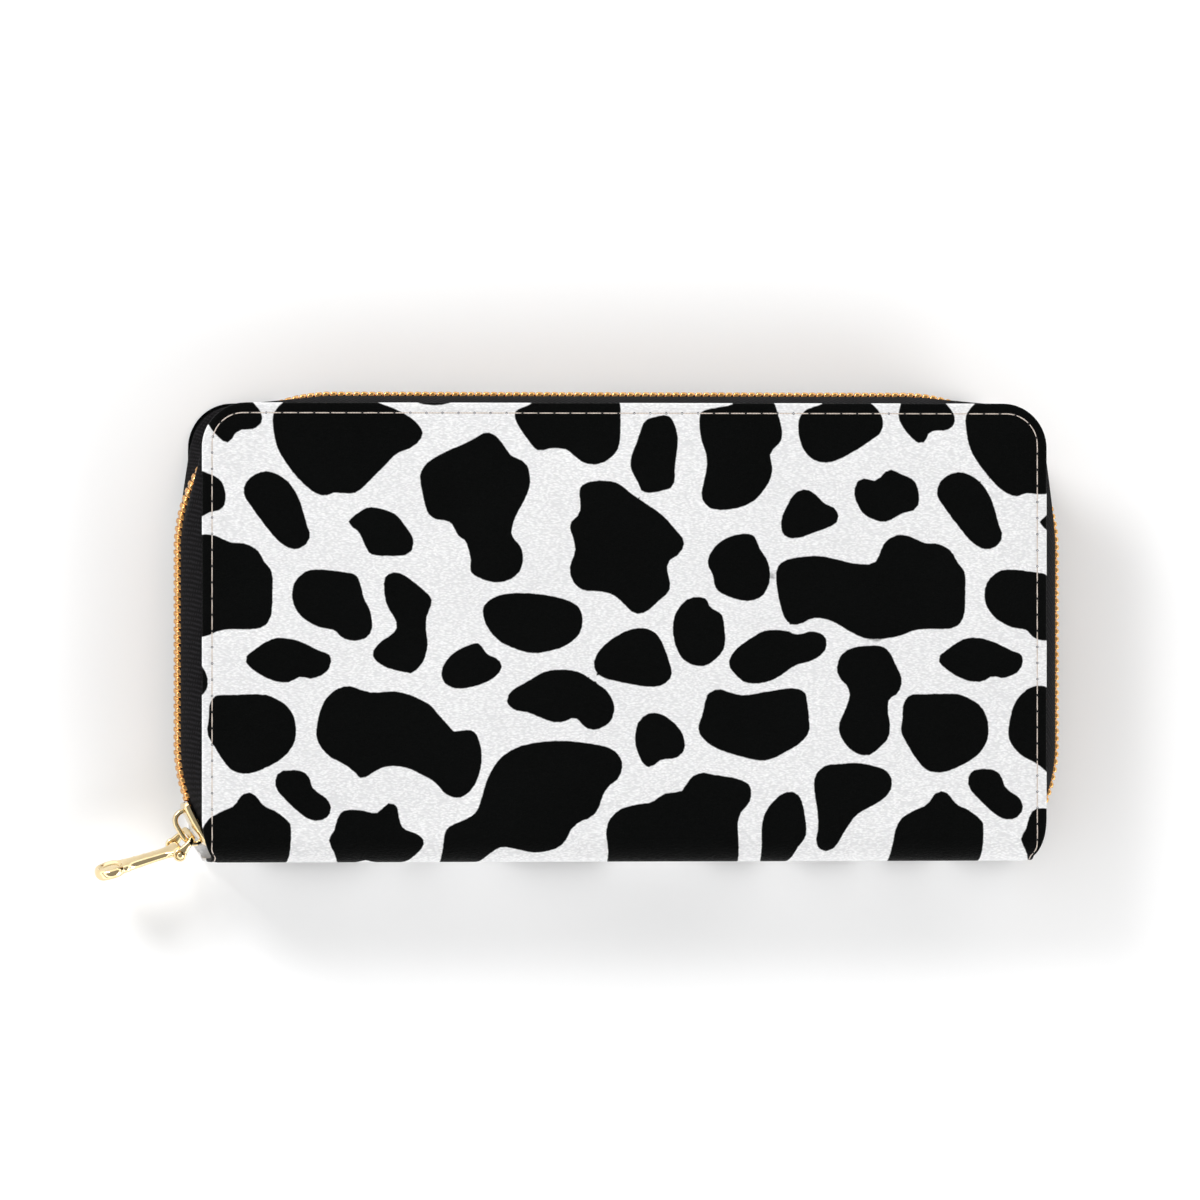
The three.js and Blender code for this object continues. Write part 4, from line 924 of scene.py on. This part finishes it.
def zip_tape(side):
    """The cloth from the zip's bead round to its flange glued inside the cover."""
    front = side == "front"
    rings = []
    thick = 0.3
    bead_rises = (1.25, 2.0)
    flange_rise = MID_Z - TAPE_DEPTH
    height = flange_rise - TAPE_START
    for distance in np.arange(0, 2 * HALF_ZIP + 0.01, 2 * HALF_ZIP / 240):
        point, out, edge, into = zip_at(distance)
        start, finish = edge + into * 0.7, edge + into * 5.2
        lean = math.atan2((point - start) @ out, height)
        outside = [(*(point + out * thick), rise) for rise in bead_rises]
        inside = [(*(point - out * thick), rise) for rise in bead_rises]
        for share in np.linspace(0, 1, 13):
            place = point + (start - point) * share**TAPE_BULGE
            rise = TAPE_START + height * share
            turn = lean + (math.pi / 2 - lean) * smoothstep((share - 0.9) / 0.1)
            half, lift = thick * math.cos(turn), thick * math.sin(turn)
            outside.append((*(place + out * half), rise + lift))
            inside.append((*(place - out * half), rise - lift))
        outside.append((*finish, flange_rise + thick))
        inside.append((*finish, flange_rise - thick))
        ring = outside + inside[::-1]
        rings.append([(x, y, MID_Z + r if front else MID_Z - r) for x, y, r in ring])
    piece = make_piece(f"{side}_tape", loft_parts(rings), TAPE_MATERIAL)
    place_piece(piece, f"{side}_cover", f"{side}_zip_tape")


TOOTH_SLANT = 0.22
# A tooth's rise from the middle plane, and half its size along and across the zip there.
TOOTH_PROFILE = [
    (2.72, 0.45, 0.8), (2.66, 0.58, 1.1), (2.45, 0.66, 1.25), (1.7, 0.64, 1.25), (1.45, 0.5, 1.15),
    (1.2, 0.34, 1.05), (0.55, 0.3, 1.1), (0.1, 0.34, 1.22), (-0.45, 0.34, 1.22),
    (-0.85, 0.29, 1.05), (-1.06, 0.19, 0.7), (-1.12, 0.08, 0.3),
]
SLIDER_MIDDLE = ZIP_END_RADIUS * (ZIP_END_TILT - SLIDER_TILT)
SLIDER_LOW = SLIDER_MIDDLE - SLIDER_LENGTH / 2
SLIDER_HIGH = SLIDER_MIDDLE + SLIDER_LENGTH / 2
FIRST_TOOTH = SLIDER_MIDDLE + 0.5


def ring_beside(centre, half_along, half_out, rise, front, sides, slant=0.0):
    """A ring with squared corners round a place on the zip's path."""
    ring = []
    for c, s in round_steps(sides, 0.5, (0.5, 0.5)):
        out = half_out * s
        ring.append(beside(centre + half_along * c + slant * out, out, rise, front))
    return ring


def zip_teeth(side):
    """Cast metal teeth clamped on the tape's beaded edge, with the bead's cord."""
    front = side == "front"
    place = FIRST_TOOTH + (5 * TOOTH_PITCH if front else 0)
    start = SLIDER_HIGH + 0.3 if front else SLIDER_MIDDLE - 1
    last = 2 * HALF_ZIP - 3
    parts = []
    while place + TOOTH_WIDTH / 2 < last:
        if place - TOOTH_WIDTH / 2 > start:
            parts.append(loft_parts([
                ring_beside(place, along, out, rise, front, 12, TOOTH_SLANT)
                for rise, along, out in TOOTH_PROFILE
            ]))
        place += 2 * TOOTH_PITCH
    piece = make_piece(f"{side}_teeth", join_parts(parts), TEETH_MATERIAL)
    place_piece(piece, f"{side}_cover", f"{side}_zip_teeth")
    cord, cord_rise, cord_end = 0.62, 1.95, 1.6
    rings = [
        [beside(distance, cord * s, cord_rise + cord * c, front) for c, s in round_steps(10)]
        for distance in np.linspace(cord_end, 2 * HALF_ZIP - cord_end, 300)
    ]
    bead = make_piece(f"{side}_bead_cord", loft_parts(rings), TAPE_MATERIAL)
    place_piece(bead, f"{side}_cover")


def stop_clip(name, centre, half_along, rises, front, body, node):
    """A folded metal stop, round at its edges, closed on the zip's bead."""
    rings = []
    low, high = rises
    for share in (0, 0.08, 0.25, 0.5, 0.75, 0.92, 1):
        narrow = 1 - 0.25 * abs(2 * share - 1) ** 4
        rise = low + (high - low) * share
        rings.append(ring_beside(centre, half_along * narrow, 0.9 * narrow, rise, front, 14))
    piece = make_piece(name, loft_parts(rings), TEETH_MATERIAL)
    place_piece(piece, body, node)


# ---- slider and pull ----------------------------------------------------------------------
def slider_plates():
    """The two shield-shaped plates with their lips, and the post between them."""
    parts = []
    thick, nose, tail = 0.95, 0.16, 0.1
    for sign, lip in ((1, 0.95), (-1, 0.75)):
        rings = []
        for share in np.linspace(0, 1, 17):
            distance = SLIDER_LOW + SLIDER_LENGTH * share
            shoulder = 4.6 - 0.9 * smoothstep((share - 0.35) / 0.65)
            half = shoulder * math.sqrt(1 - 0.35 * (max(nose - share, 0) / nose) ** 2)
            half *= math.sqrt(1 - 0.25 * (max(share + tail - 1, 0) / tail) ** 2)
            wall = half - thick
            dome = SLIDER_TOP - 0.25 * (1 - min(min(share, 1 - share) / tail, 1)) ** 2
            section = [
                (lip, -half), (CHANNEL, -half), (dome - 0.35, -half + 0.05), (dome, -half + 0.45),
                (dome + 0.08, -half * 0.5), (dome + 0.1, 0), (dome + 0.08, half * 0.5),
                (dome, half - 0.45), (dome - 0.35, half - 0.05), (CHANNEL, half), (lip, half),
                (lip, wall), (CHANNEL, wall - 0.1), (CHANNEL, 0), (CHANNEL, -wall + 0.1),
                (lip, -wall),
            ]
            rings.append([beside(distance, sign * out, rise, False) for out, rise in section])
        parts.append(loft_parts(rings))
    post = []
    for share in (0, 0.3, 0.7, 1):
        distance = SLIDER_LOW + 0.5 + 2.2 * share
        half = 0.55 * (1 - 0.55 * share)
        post.append([beside(distance, out, rise, False)
                     for out, rise in ((-1.6, -half), (1.6, -half), (1.6, half), (-1.6, half))])
    parts.append(loft_parts(post))
    return parts


def swept_band(path, half_widths, half_thick, axis, power):
    """A round-edged band that follows a path; its width lies along axis at each step."""
    across = Vector(axis).normalized()
    rings = []
    for place, way, half in zip(path, tangents(path), half_widths):
        out = way.cross(across).normalized()
        rings.append([place + across * half * c + out * half_thick * s
                      for c, s in round_steps(12, 0.5, (power, power))])
    return loft_parts(rings)


def slider_bail():
    """The arch on the outer plate: it rises from the tail, leans out and comes back in."""
    place, out = zip_at(SLIDER_MIDDLE)[:2]
    origin = Vector((place[0], place[1], MID_Z))
    outward = Vector((out[0], out[1], 0))
    down = Vector((-out[1], out[0], 0))
    if down.y > 0:
        down = -down
    control = [(-4.0, 0.0), (-4.1, 0.9), (-3.7, 2.1), (-2.5, 2.85), (-0.8, 2.95), (1.2, 2.85),
               (2.9, 2.3), (3.7, 1.2), (3.75, 0.0)]
    ends = np.array([control[0], *control, control[-1]])
    fine = [*curve_through(ends[:-3], ends[1:-2], ends[2:-1], ends[3:], 6), control[-1]]
    path = [origin + down * a + outward * (SLIDER_TOP - 0.05 + b) for a, b in fine]
    return swept_band(path, [1.3] * len(path), 0.55, (0, 0, 1), 0.45)


def joint_of(name):
    return next(j for j in frame["joints"] if j["name"] == name)


PULL_AXIS = Vector(joint_of("pull_swing")["axis"]).normalized()
BAR_CENTRE = Vector(joint_of("pull_swing")["pos_m"]) / MM
PIN_CENTRE = Vector(joint_of("pull_tab_swing")["pos_m"]) / MM
SHACKLE_WAY = (PIN_CENTRE - BAR_CENTRE).normalized()
SHACKLE_REACH = (PIN_CENTRE - BAR_CENTRE).length
TAB_HANG = Vector((-0.956, -0.294, 0))
TAB_WAY = (TAB_HANG - PULL_AXIS * TAB_HANG.dot(PULL_AXIS)).normalized()
PULL_LENGTH = 19
# Radii of the tab's round paddle, of the barrel on its pin and of the dish in the paddle,
# and how far along the tab its three ribs lie.
PADDLE = 3.75
BARREL = 1.4
DISH = 3.0
RIBS = (5.0, 7.2, 9.4)


def on_pull(origin, way, along, across, face):
    return origin + way * along + PULL_AXIS * across + way.cross(PULL_AXIS) * face


def turned(way, profile, sides):
    """Rings round the pin's axis, from how far along it each lies and its radius."""
    return [[on_pull(PIN_CENTRE, way, radius * c, along, radius * s)
             for c, s in round_steps(sides)] for along, radius in profile]


def pull_shackle():
    """A bent loop through the bail, with an eye at each end for the pin."""
    half, bend = 4.2, 1.5
    line = [(SHACKLE_REACH + 0.3, -half), (SHACKLE_REACH - 0.8, -half), (bend, -half)]
    line += [(bend - bend * math.sin(a), -half + bend - bend * math.cos(a))
             for a in np.linspace(0, math.pi / 2, 7)[1:]]
    line += [(0, 0)]
    line += [(a, -b) for a, b in reversed(line[:-1])]
    path = [on_pull(BAR_CENTRE, SHACKLE_WAY, a, b, 0) for a, b in line]
    face = SHACKLE_WAY.cross(PULL_AXIS)
    widths = [0.65 + 0.45 * smoothstep((a - bend) / 1.6) for a, b in line]
    parts = [swept_band(path, widths, 0.6, face, 0.5)]
    eye = [(-0.62, 0.85), (-0.62, 1.2), (-0.5, 1.42), (-0.2, 1.5), (0.2, 1.5), (0.5, 1.42),
           (0.62, 1.2), (0.62, 0.85)]
    for middle in (-half, half):
        rings = turned(SHACKLE_WAY, [(middle + offset, radius) for offset, radius in eye], 28)
        parts.append(loft_parts(rings + rings[:1], closed_ends=False))
    piece = make_piece("shackle", join_parts(parts), GOLD_MATERIAL)
    place_piece(piece, "pull_link", "pull_shackle")


def pull_pin():
    """The pin through the shackle's eyes and the tab's barrel, with a round head at each end."""
    head = [(4.87, 0.65), (4.87, 0.85), (5.12, 0.85), (5.3, 0.7), (5.38, 0.35), (5.4, 0.02)]
    profile = [(-along, radius) for along, radius in reversed(head)] + head
    piece = make_piece("pin", loft_parts(turned(TAB_WAY, profile, 24)), GOLD_MATERIAL)
    place_piece(piece, "pull_link", "pull_pin")


def tab_half_width(u):
    """Half the tab's width at a distance from the pin: barrel, neck, then a round paddle."""
    bulb = PULL_LENGTH - PADDLE
    neck = 3.0 - 0.95 * smoothstep((u - 0.6) / 2.4) + 0.25 * smoothstep((u - 6) / 6)
    round_part = math.sqrt(max(PADDLE**2 - (u - bulb) ** 2, 0.0))
    if u > bulb:
        return round_part
    if u < -0.9:
        return neck * math.sqrt(1 - ((-0.9 - u) / 0.5) ** 2 * 0.2)
    fillet = 0.6 * math.exp(-(((u - (bulb - 3.1)) / 1.1) ** 2))
    return max(neck + fillet, round_part)


def tab_half_thick(u):
    barrel = math.sqrt(max(BARREL**2 - u * u, 0))
    neck = 0.95 + 0.15 * smoothstep((u - 4) / 6)
    bulb = 1.4 * smoothstep((u - (PULL_LENGTH - 9)) / 4.5)
    tip = math.sqrt(max(1 - max(u - (PULL_LENGTH - 1.3), 0) ** 2 / 1.3**2, 0.0))
    if u < 0:
        return max(barrel, 0.05)
    return max(barrel, max(neck, bulb) * tip, 0.04)


def pull_tab():
    """A barrel on the pin, a narrow neck with three plain ribs and a dished round paddle."""
    centre = PULL_LENGTH - PADDLE
    dish_depth, dish_floor, rib_height, rib_half = 0.75, 2.2, 0.16, 1.5
    rings = []
    places = [-BARREL, -1.36, -1.25, -1.05, -0.8, *np.linspace(-0.5, PULL_LENGTH - 1.4, 92)]
    places += [PULL_LENGTH - d for d in (1.2, 1.0, 0.8, 0.6, 0.42, 0.27, 0.15, 0.07, 0.02)]
    for u in places:
        width, thick = max(tab_half_width(u), 0.05), tab_half_thick(u)
        ring = []
        for c, s in round_steps(44, 0.0, (0.75, 0.55)):
            across, face = width * c, thick * s
            radius = math.hypot(u - centre, across)
            if s > 0 and radius < DISH:
                face -= dish_depth * (1 - smoothstep((radius - dish_floor) / (DISH - dish_floor)))
            if s > 0 and abs(across) < rib_half:
                ribs = sum(math.exp(-(((u - rib) / 0.35) ** 2)) for rib in RIBS)
                face += rib_height * ribs * (1 - (across / rib_half) ** 4)
            ring.append(on_pull(PIN_CENTRE, TAB_WAY, u, across, face))
        rings.append(ring)
    piece = make_piece("tab", loft_parts(rings), GOLD_MATERIAL)
    place_piece(piece, "pull_tab", "pull_tab")


def slider():
    piece = make_piece("zip_slider", join_parts(slider_plates()), GOLD_MATERIAL)
    bevel(piece, 0.14, 2, 40)
    place_piece(piece, "slider", "slider")
    place_piece(make_piece("zip_slider_bail", slider_bail(), GOLD_MATERIAL), "slider")


# ---- coin pocket --------------------------------------------------------------------------
def coin_pocket():
    """The pocket's two panels with a seam round each, its gusset wall and its zip."""
    inset = 1.8
    for side, sign in (("back", -1), ("front", 1)):
        node = f"{side}_coin_panel"
        low, high = box_mm(node)
        piece = sheet_piece(f"{side}_pocket_panel", low, high, INNER_LEATHER, 4, 0.12, 0.12 * sign)
        place_piece(piece, POCKET, node)
        z = high[2] + SEAM_LIFT if side == "front" else low[2] - SEAM_LIFT
        left, right = low[0] + inset, high[0] - inset
        bottom, top = low[1] + inset, high[1] - inset
        path = [(left, top, z), (left, bottom, z), (right, bottom, z), (right, top, z)]
        seam(f"{side}_pocket_seam", path, POCKET, 3.0)
    pocket_wall()
    coin_zip()


def pocket_wall():
    """The gusset wall round the pocket's sides and bottom, pleated inward a little."""
    low, high = box_mm("coin_binding")
    radius, middle, cloth, pleat = 4, (low[2] + high[2]) / 2, 0.5, 0.25
    line = [(low[0], y, -1, 0) for y in np.linspace(high[1], low[1] + radius, 24)]
    for corner_x, start in ((low[0] + radius, math.pi), (high[0] - radius, 1.5 * math.pi)):
        for a in np.linspace(start, start + math.pi / 2, 7):
            line.append((corner_x + radius * math.cos(a), low[1] + radius + radius * math.sin(a),
                         math.cos(a), math.sin(a)))
        if start == math.pi:
            line += [(x, low[1], 0, -1) for x in np.linspace(corner_x, -corner_x, 40)[1:-1]]
    line += [(high[0], y, 1, 0) for y in np.linspace(low[1] + radius, high[1], 24)]
    rings = []
    heights = np.linspace(low[2], high[2], 9)
    for x, y, out_x, out_y in line:
        outside, inside = [], []
        for z in heights:
            tuck = pleat * math.cos(math.pi * (z - middle) / (high[2] - low[2]))
            outside.append((x - out_x * tuck, y - out_y * tuck, z))
            inside.append((x - out_x * (tuck + cloth), y - out_y * (tuck + cloth), z))
        rings.append(outside + inside[::-1])
    piece = make_piece("pocket_wall", loft_parts(rings), LINING_MATERIAL)
    place_piece(piece, POCKET, "coin_binding")


def coin_zip():
    for side, sign in (("back", -1), ("front", 1)):
        node = f"{side}_coin_tape"
        tape = make_piece(f"{side}_pocket_tape", soft_strip(*box_mm(node)), TAPE_MATERIAL)
        place_piece(tape, POCKET, node)
        node = f"{side}_coin_coil"
        coil = make_piece(f"{side}_pocket_coil", coil_row(*box_mm(node), sign), COIL_MATERIAL)
        place_piece(coil, POCKET, node)


def section_of(low, high):
    """The middle and half the size of a box, in y and z."""
    return ((low[1] + high[1]) / 2, (low[2] + high[2]) / 2,
            (high[1] - low[1]) / 2, (high[2] - low[2]) / 2)


def soft_strip(low, high):
    """A flat strip with soft edges, in many short lengths."""
    middle_y, middle_z, half_y, half_z = section_of(low, high)
    return loft_parts([
        [(x, middle_y + half_y * c, middle_z + half_z * s)
         for c, s in round_steps(12, 0.5, (0.4, 0.4))]
        for x in np.linspace(low[0], high[0], 90)
    ])


def coil_row(low, high, sign):
    """A nylon coil: one filament wound along the edge of the tape."""
    middle_y, middle_z, half_y, half_z = section_of(low, high)
    wire, pitch, steps = 0.2, 1.1, 8
    path = []
    for k in range(int((high[0] - low[0]) / pitch) * steps):
        angle = 2 * math.pi * k / steps
        path.append(Vector((low[0] + pitch * k / steps,
                            middle_y + (half_y - wire) * math.cos(angle),
                            middle_z + sign * (half_z - wire) * math.sin(angle))))
    rings = []
    for place, way in zip(path, tangents(path)):
        side = way.cross(Vector((1, 0, 0))).normalized()
        rings.append(tube_ring(place, side, way.cross(side), wire, 5))
    return loft_parts(rings)


# ---- side gussets -------------------------------------------------------------------------
def gussets():
    """Pleated cloth from each cover to the coin pocket, at both ends of the wallet."""
    fold = [(90.15, 3.1), (89.2, 3.9), (87.4, 5.2), (86.0, 6.1), (85.75, 6.4), (86.0, 6.7),
            (87.4, 7.6), (89.2, 8.7), (90.15, 9.4)]
    for end, sign in (("left", -1), ("right", 1)):
        for side in SIDES:
            node = f"{end}_gusset_{side}"
            low, high = box_mm(node)
            front = side == "front"
            rings = []
            for share in np.linspace(0, 1, 40):
                y = low[1] + (high[1] - low[1]) * share
                wave = 0.12 * math.sin(9 * share) * math.sin(math.pi * share)
                ring = [(x + 0.15, z) for x, z in fold] + [(x - 0.25, z) for x, z in fold[::-1]]
                rings.append([(sign * (x + wave), y, THICKNESS - z if front else z)
                              for x, z in ring])
            piece = make_piece(f"{end}_pleat_{side}", loft_parts(rings), LINING_MATERIAL)
            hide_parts(node)
            if front:
                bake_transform(piece)
            else:
                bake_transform(piece)


# ---- camera, light and floor --------------------------------------------------------------
VIEW_TILT = math.radians(9)
LOOK_AT = Vector((-6.0, 7.0, THICKNESS)) * MM
CAMERA_DISTANCE = 3.72


def studio():
    camera_data = bpy.data.cameras.new("camera")
    camera_data.lens = 500
    camera_data.sensor_width = 36
    camera_data.clip_end = 20
    camera = add_object("camera", camera_data)
    back = Vector((-math.sin(VIEW_TILT), 0, math.cos(VIEW_TILT)))
    right = Vector((0, 1, 0)).cross(back)
    turn = Matrix((right, (0, 1, 0), back)).transposed().to_4x4()
    camera.matrix_world = Matrix.Translation(LOOK_AT + back * CAMERA_DISTANCE) @ turn
    bpy.context.scene.camera = camera

    floor_mesh = bpy.data.meshes.new("floor")
    floor_mesh.from_pydata([(-4, -4, 0), (4, -4, 0), (4, 4, 0), (-4, 4, 0)], [], [(0, 1, 2, 3)])
    floor_mesh.materials.append(plain_floor())
    floor = add_object("floor", floor_mesh)

    for name, place, size, power in (
        ("key", (-0.95, 0.95, 0.8), 0.5, 12.5),
        ("fill", (1.0, -0.7, 0.8), 0.7, 5.0),
    ):
        data = bpy.data.lights.new(name, "AREA")
        data.size = size
        data.energy = power
        lamp = add_object(name, data)
        lamp.location = place
        lamp.rotation_euler = Vector(place).to_track_quat("Z", "Y").to_euler()

    world = bpy.data.worlds.new("studio")
    bpy.context.scene.world = world
    world.use_nodes = True
    tree = world.node_tree
    background = tree.nodes["Background"]
    background.inputs["Color"].default_value = (1, 1, 1, 1)
    direction = tree.nodes.new("ShaderNodeTexCoord").outputs["Generated"]
    split = tree.nodes.new("ShaderNodeSeparateXYZ")
    bands = tree.nodes.new("ShaderNodeValToRGB")
    # Light by height, from straight down to straight up: the dark bands show in the metal.
    stops = [(0.0, 0.9), (0.3, 0.9), (0.35, 0.12), (0.43, 0.12), (0.48, 1.0), (0.62, 1.0),
             (0.7, 0.14), (1.0, 0.18)]
    while len(bands.color_ramp.elements) < len(stops):
        bands.color_ramp.elements.new(0.5)
    for element, (height, level) in zip(bands.color_ramp.elements, stops):
        element.position = height
        element.color = (level, level, level, 1)
    strength = tree.nodes.new("ShaderNodeMath")
    strength.operation = "MULTIPLY"
    strength.inputs[1].default_value = 2.0
    tree.links.new(direction, split.inputs[0])
    tree.links.new(split.outputs["Z"], bands.inputs["Fac"])
    tree.links.new(bands.outputs["Color"], strength.inputs[0])
    tree.links.new(strength.outputs[0], background.inputs["Strength"])

    bpy.context.scene.view_settings.view_transform = "Standard"
    bpy.context.scene.view_settings.look = "None"


def colour_nodes(material, *names):
    """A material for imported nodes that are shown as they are."""
    for name in names:
        for slot in bpy.data.objects[name].material_slots:
            slot.material = material


studio()
for cover_side in SIDES:
    cover_leather(cover_side)
    edge_stitches(cover_side)
    zip_tape(cover_side)
    zip_teeth(cover_side)
    stop_clip(f"{cover_side}_end_stop", 0.75, 0.55, (1.0, 2.6), cover_side == "front",
              f"{cover_side}_cover", f"{cover_side}_top_stop")
stop_clip("joining_stop", 2 * HALF_ZIP - 1.2, 0.8, (-0.8, 2.6), False, BACK, "zip_bottom_stop")
colour_nodes(BOARD_MATERIAL, "back_cover_board", "front_cover_board")
inner_linings()
card_slots()
gussets()
coin_pocket()
colour_nodes(
    GOLD_MATERIAL, "coin_slider", "coin_pull", "coin_zip_stop_left", "coin_zip_stop_right"
)
slider()
pull_shackle()
pull_pin()
pull_tab()
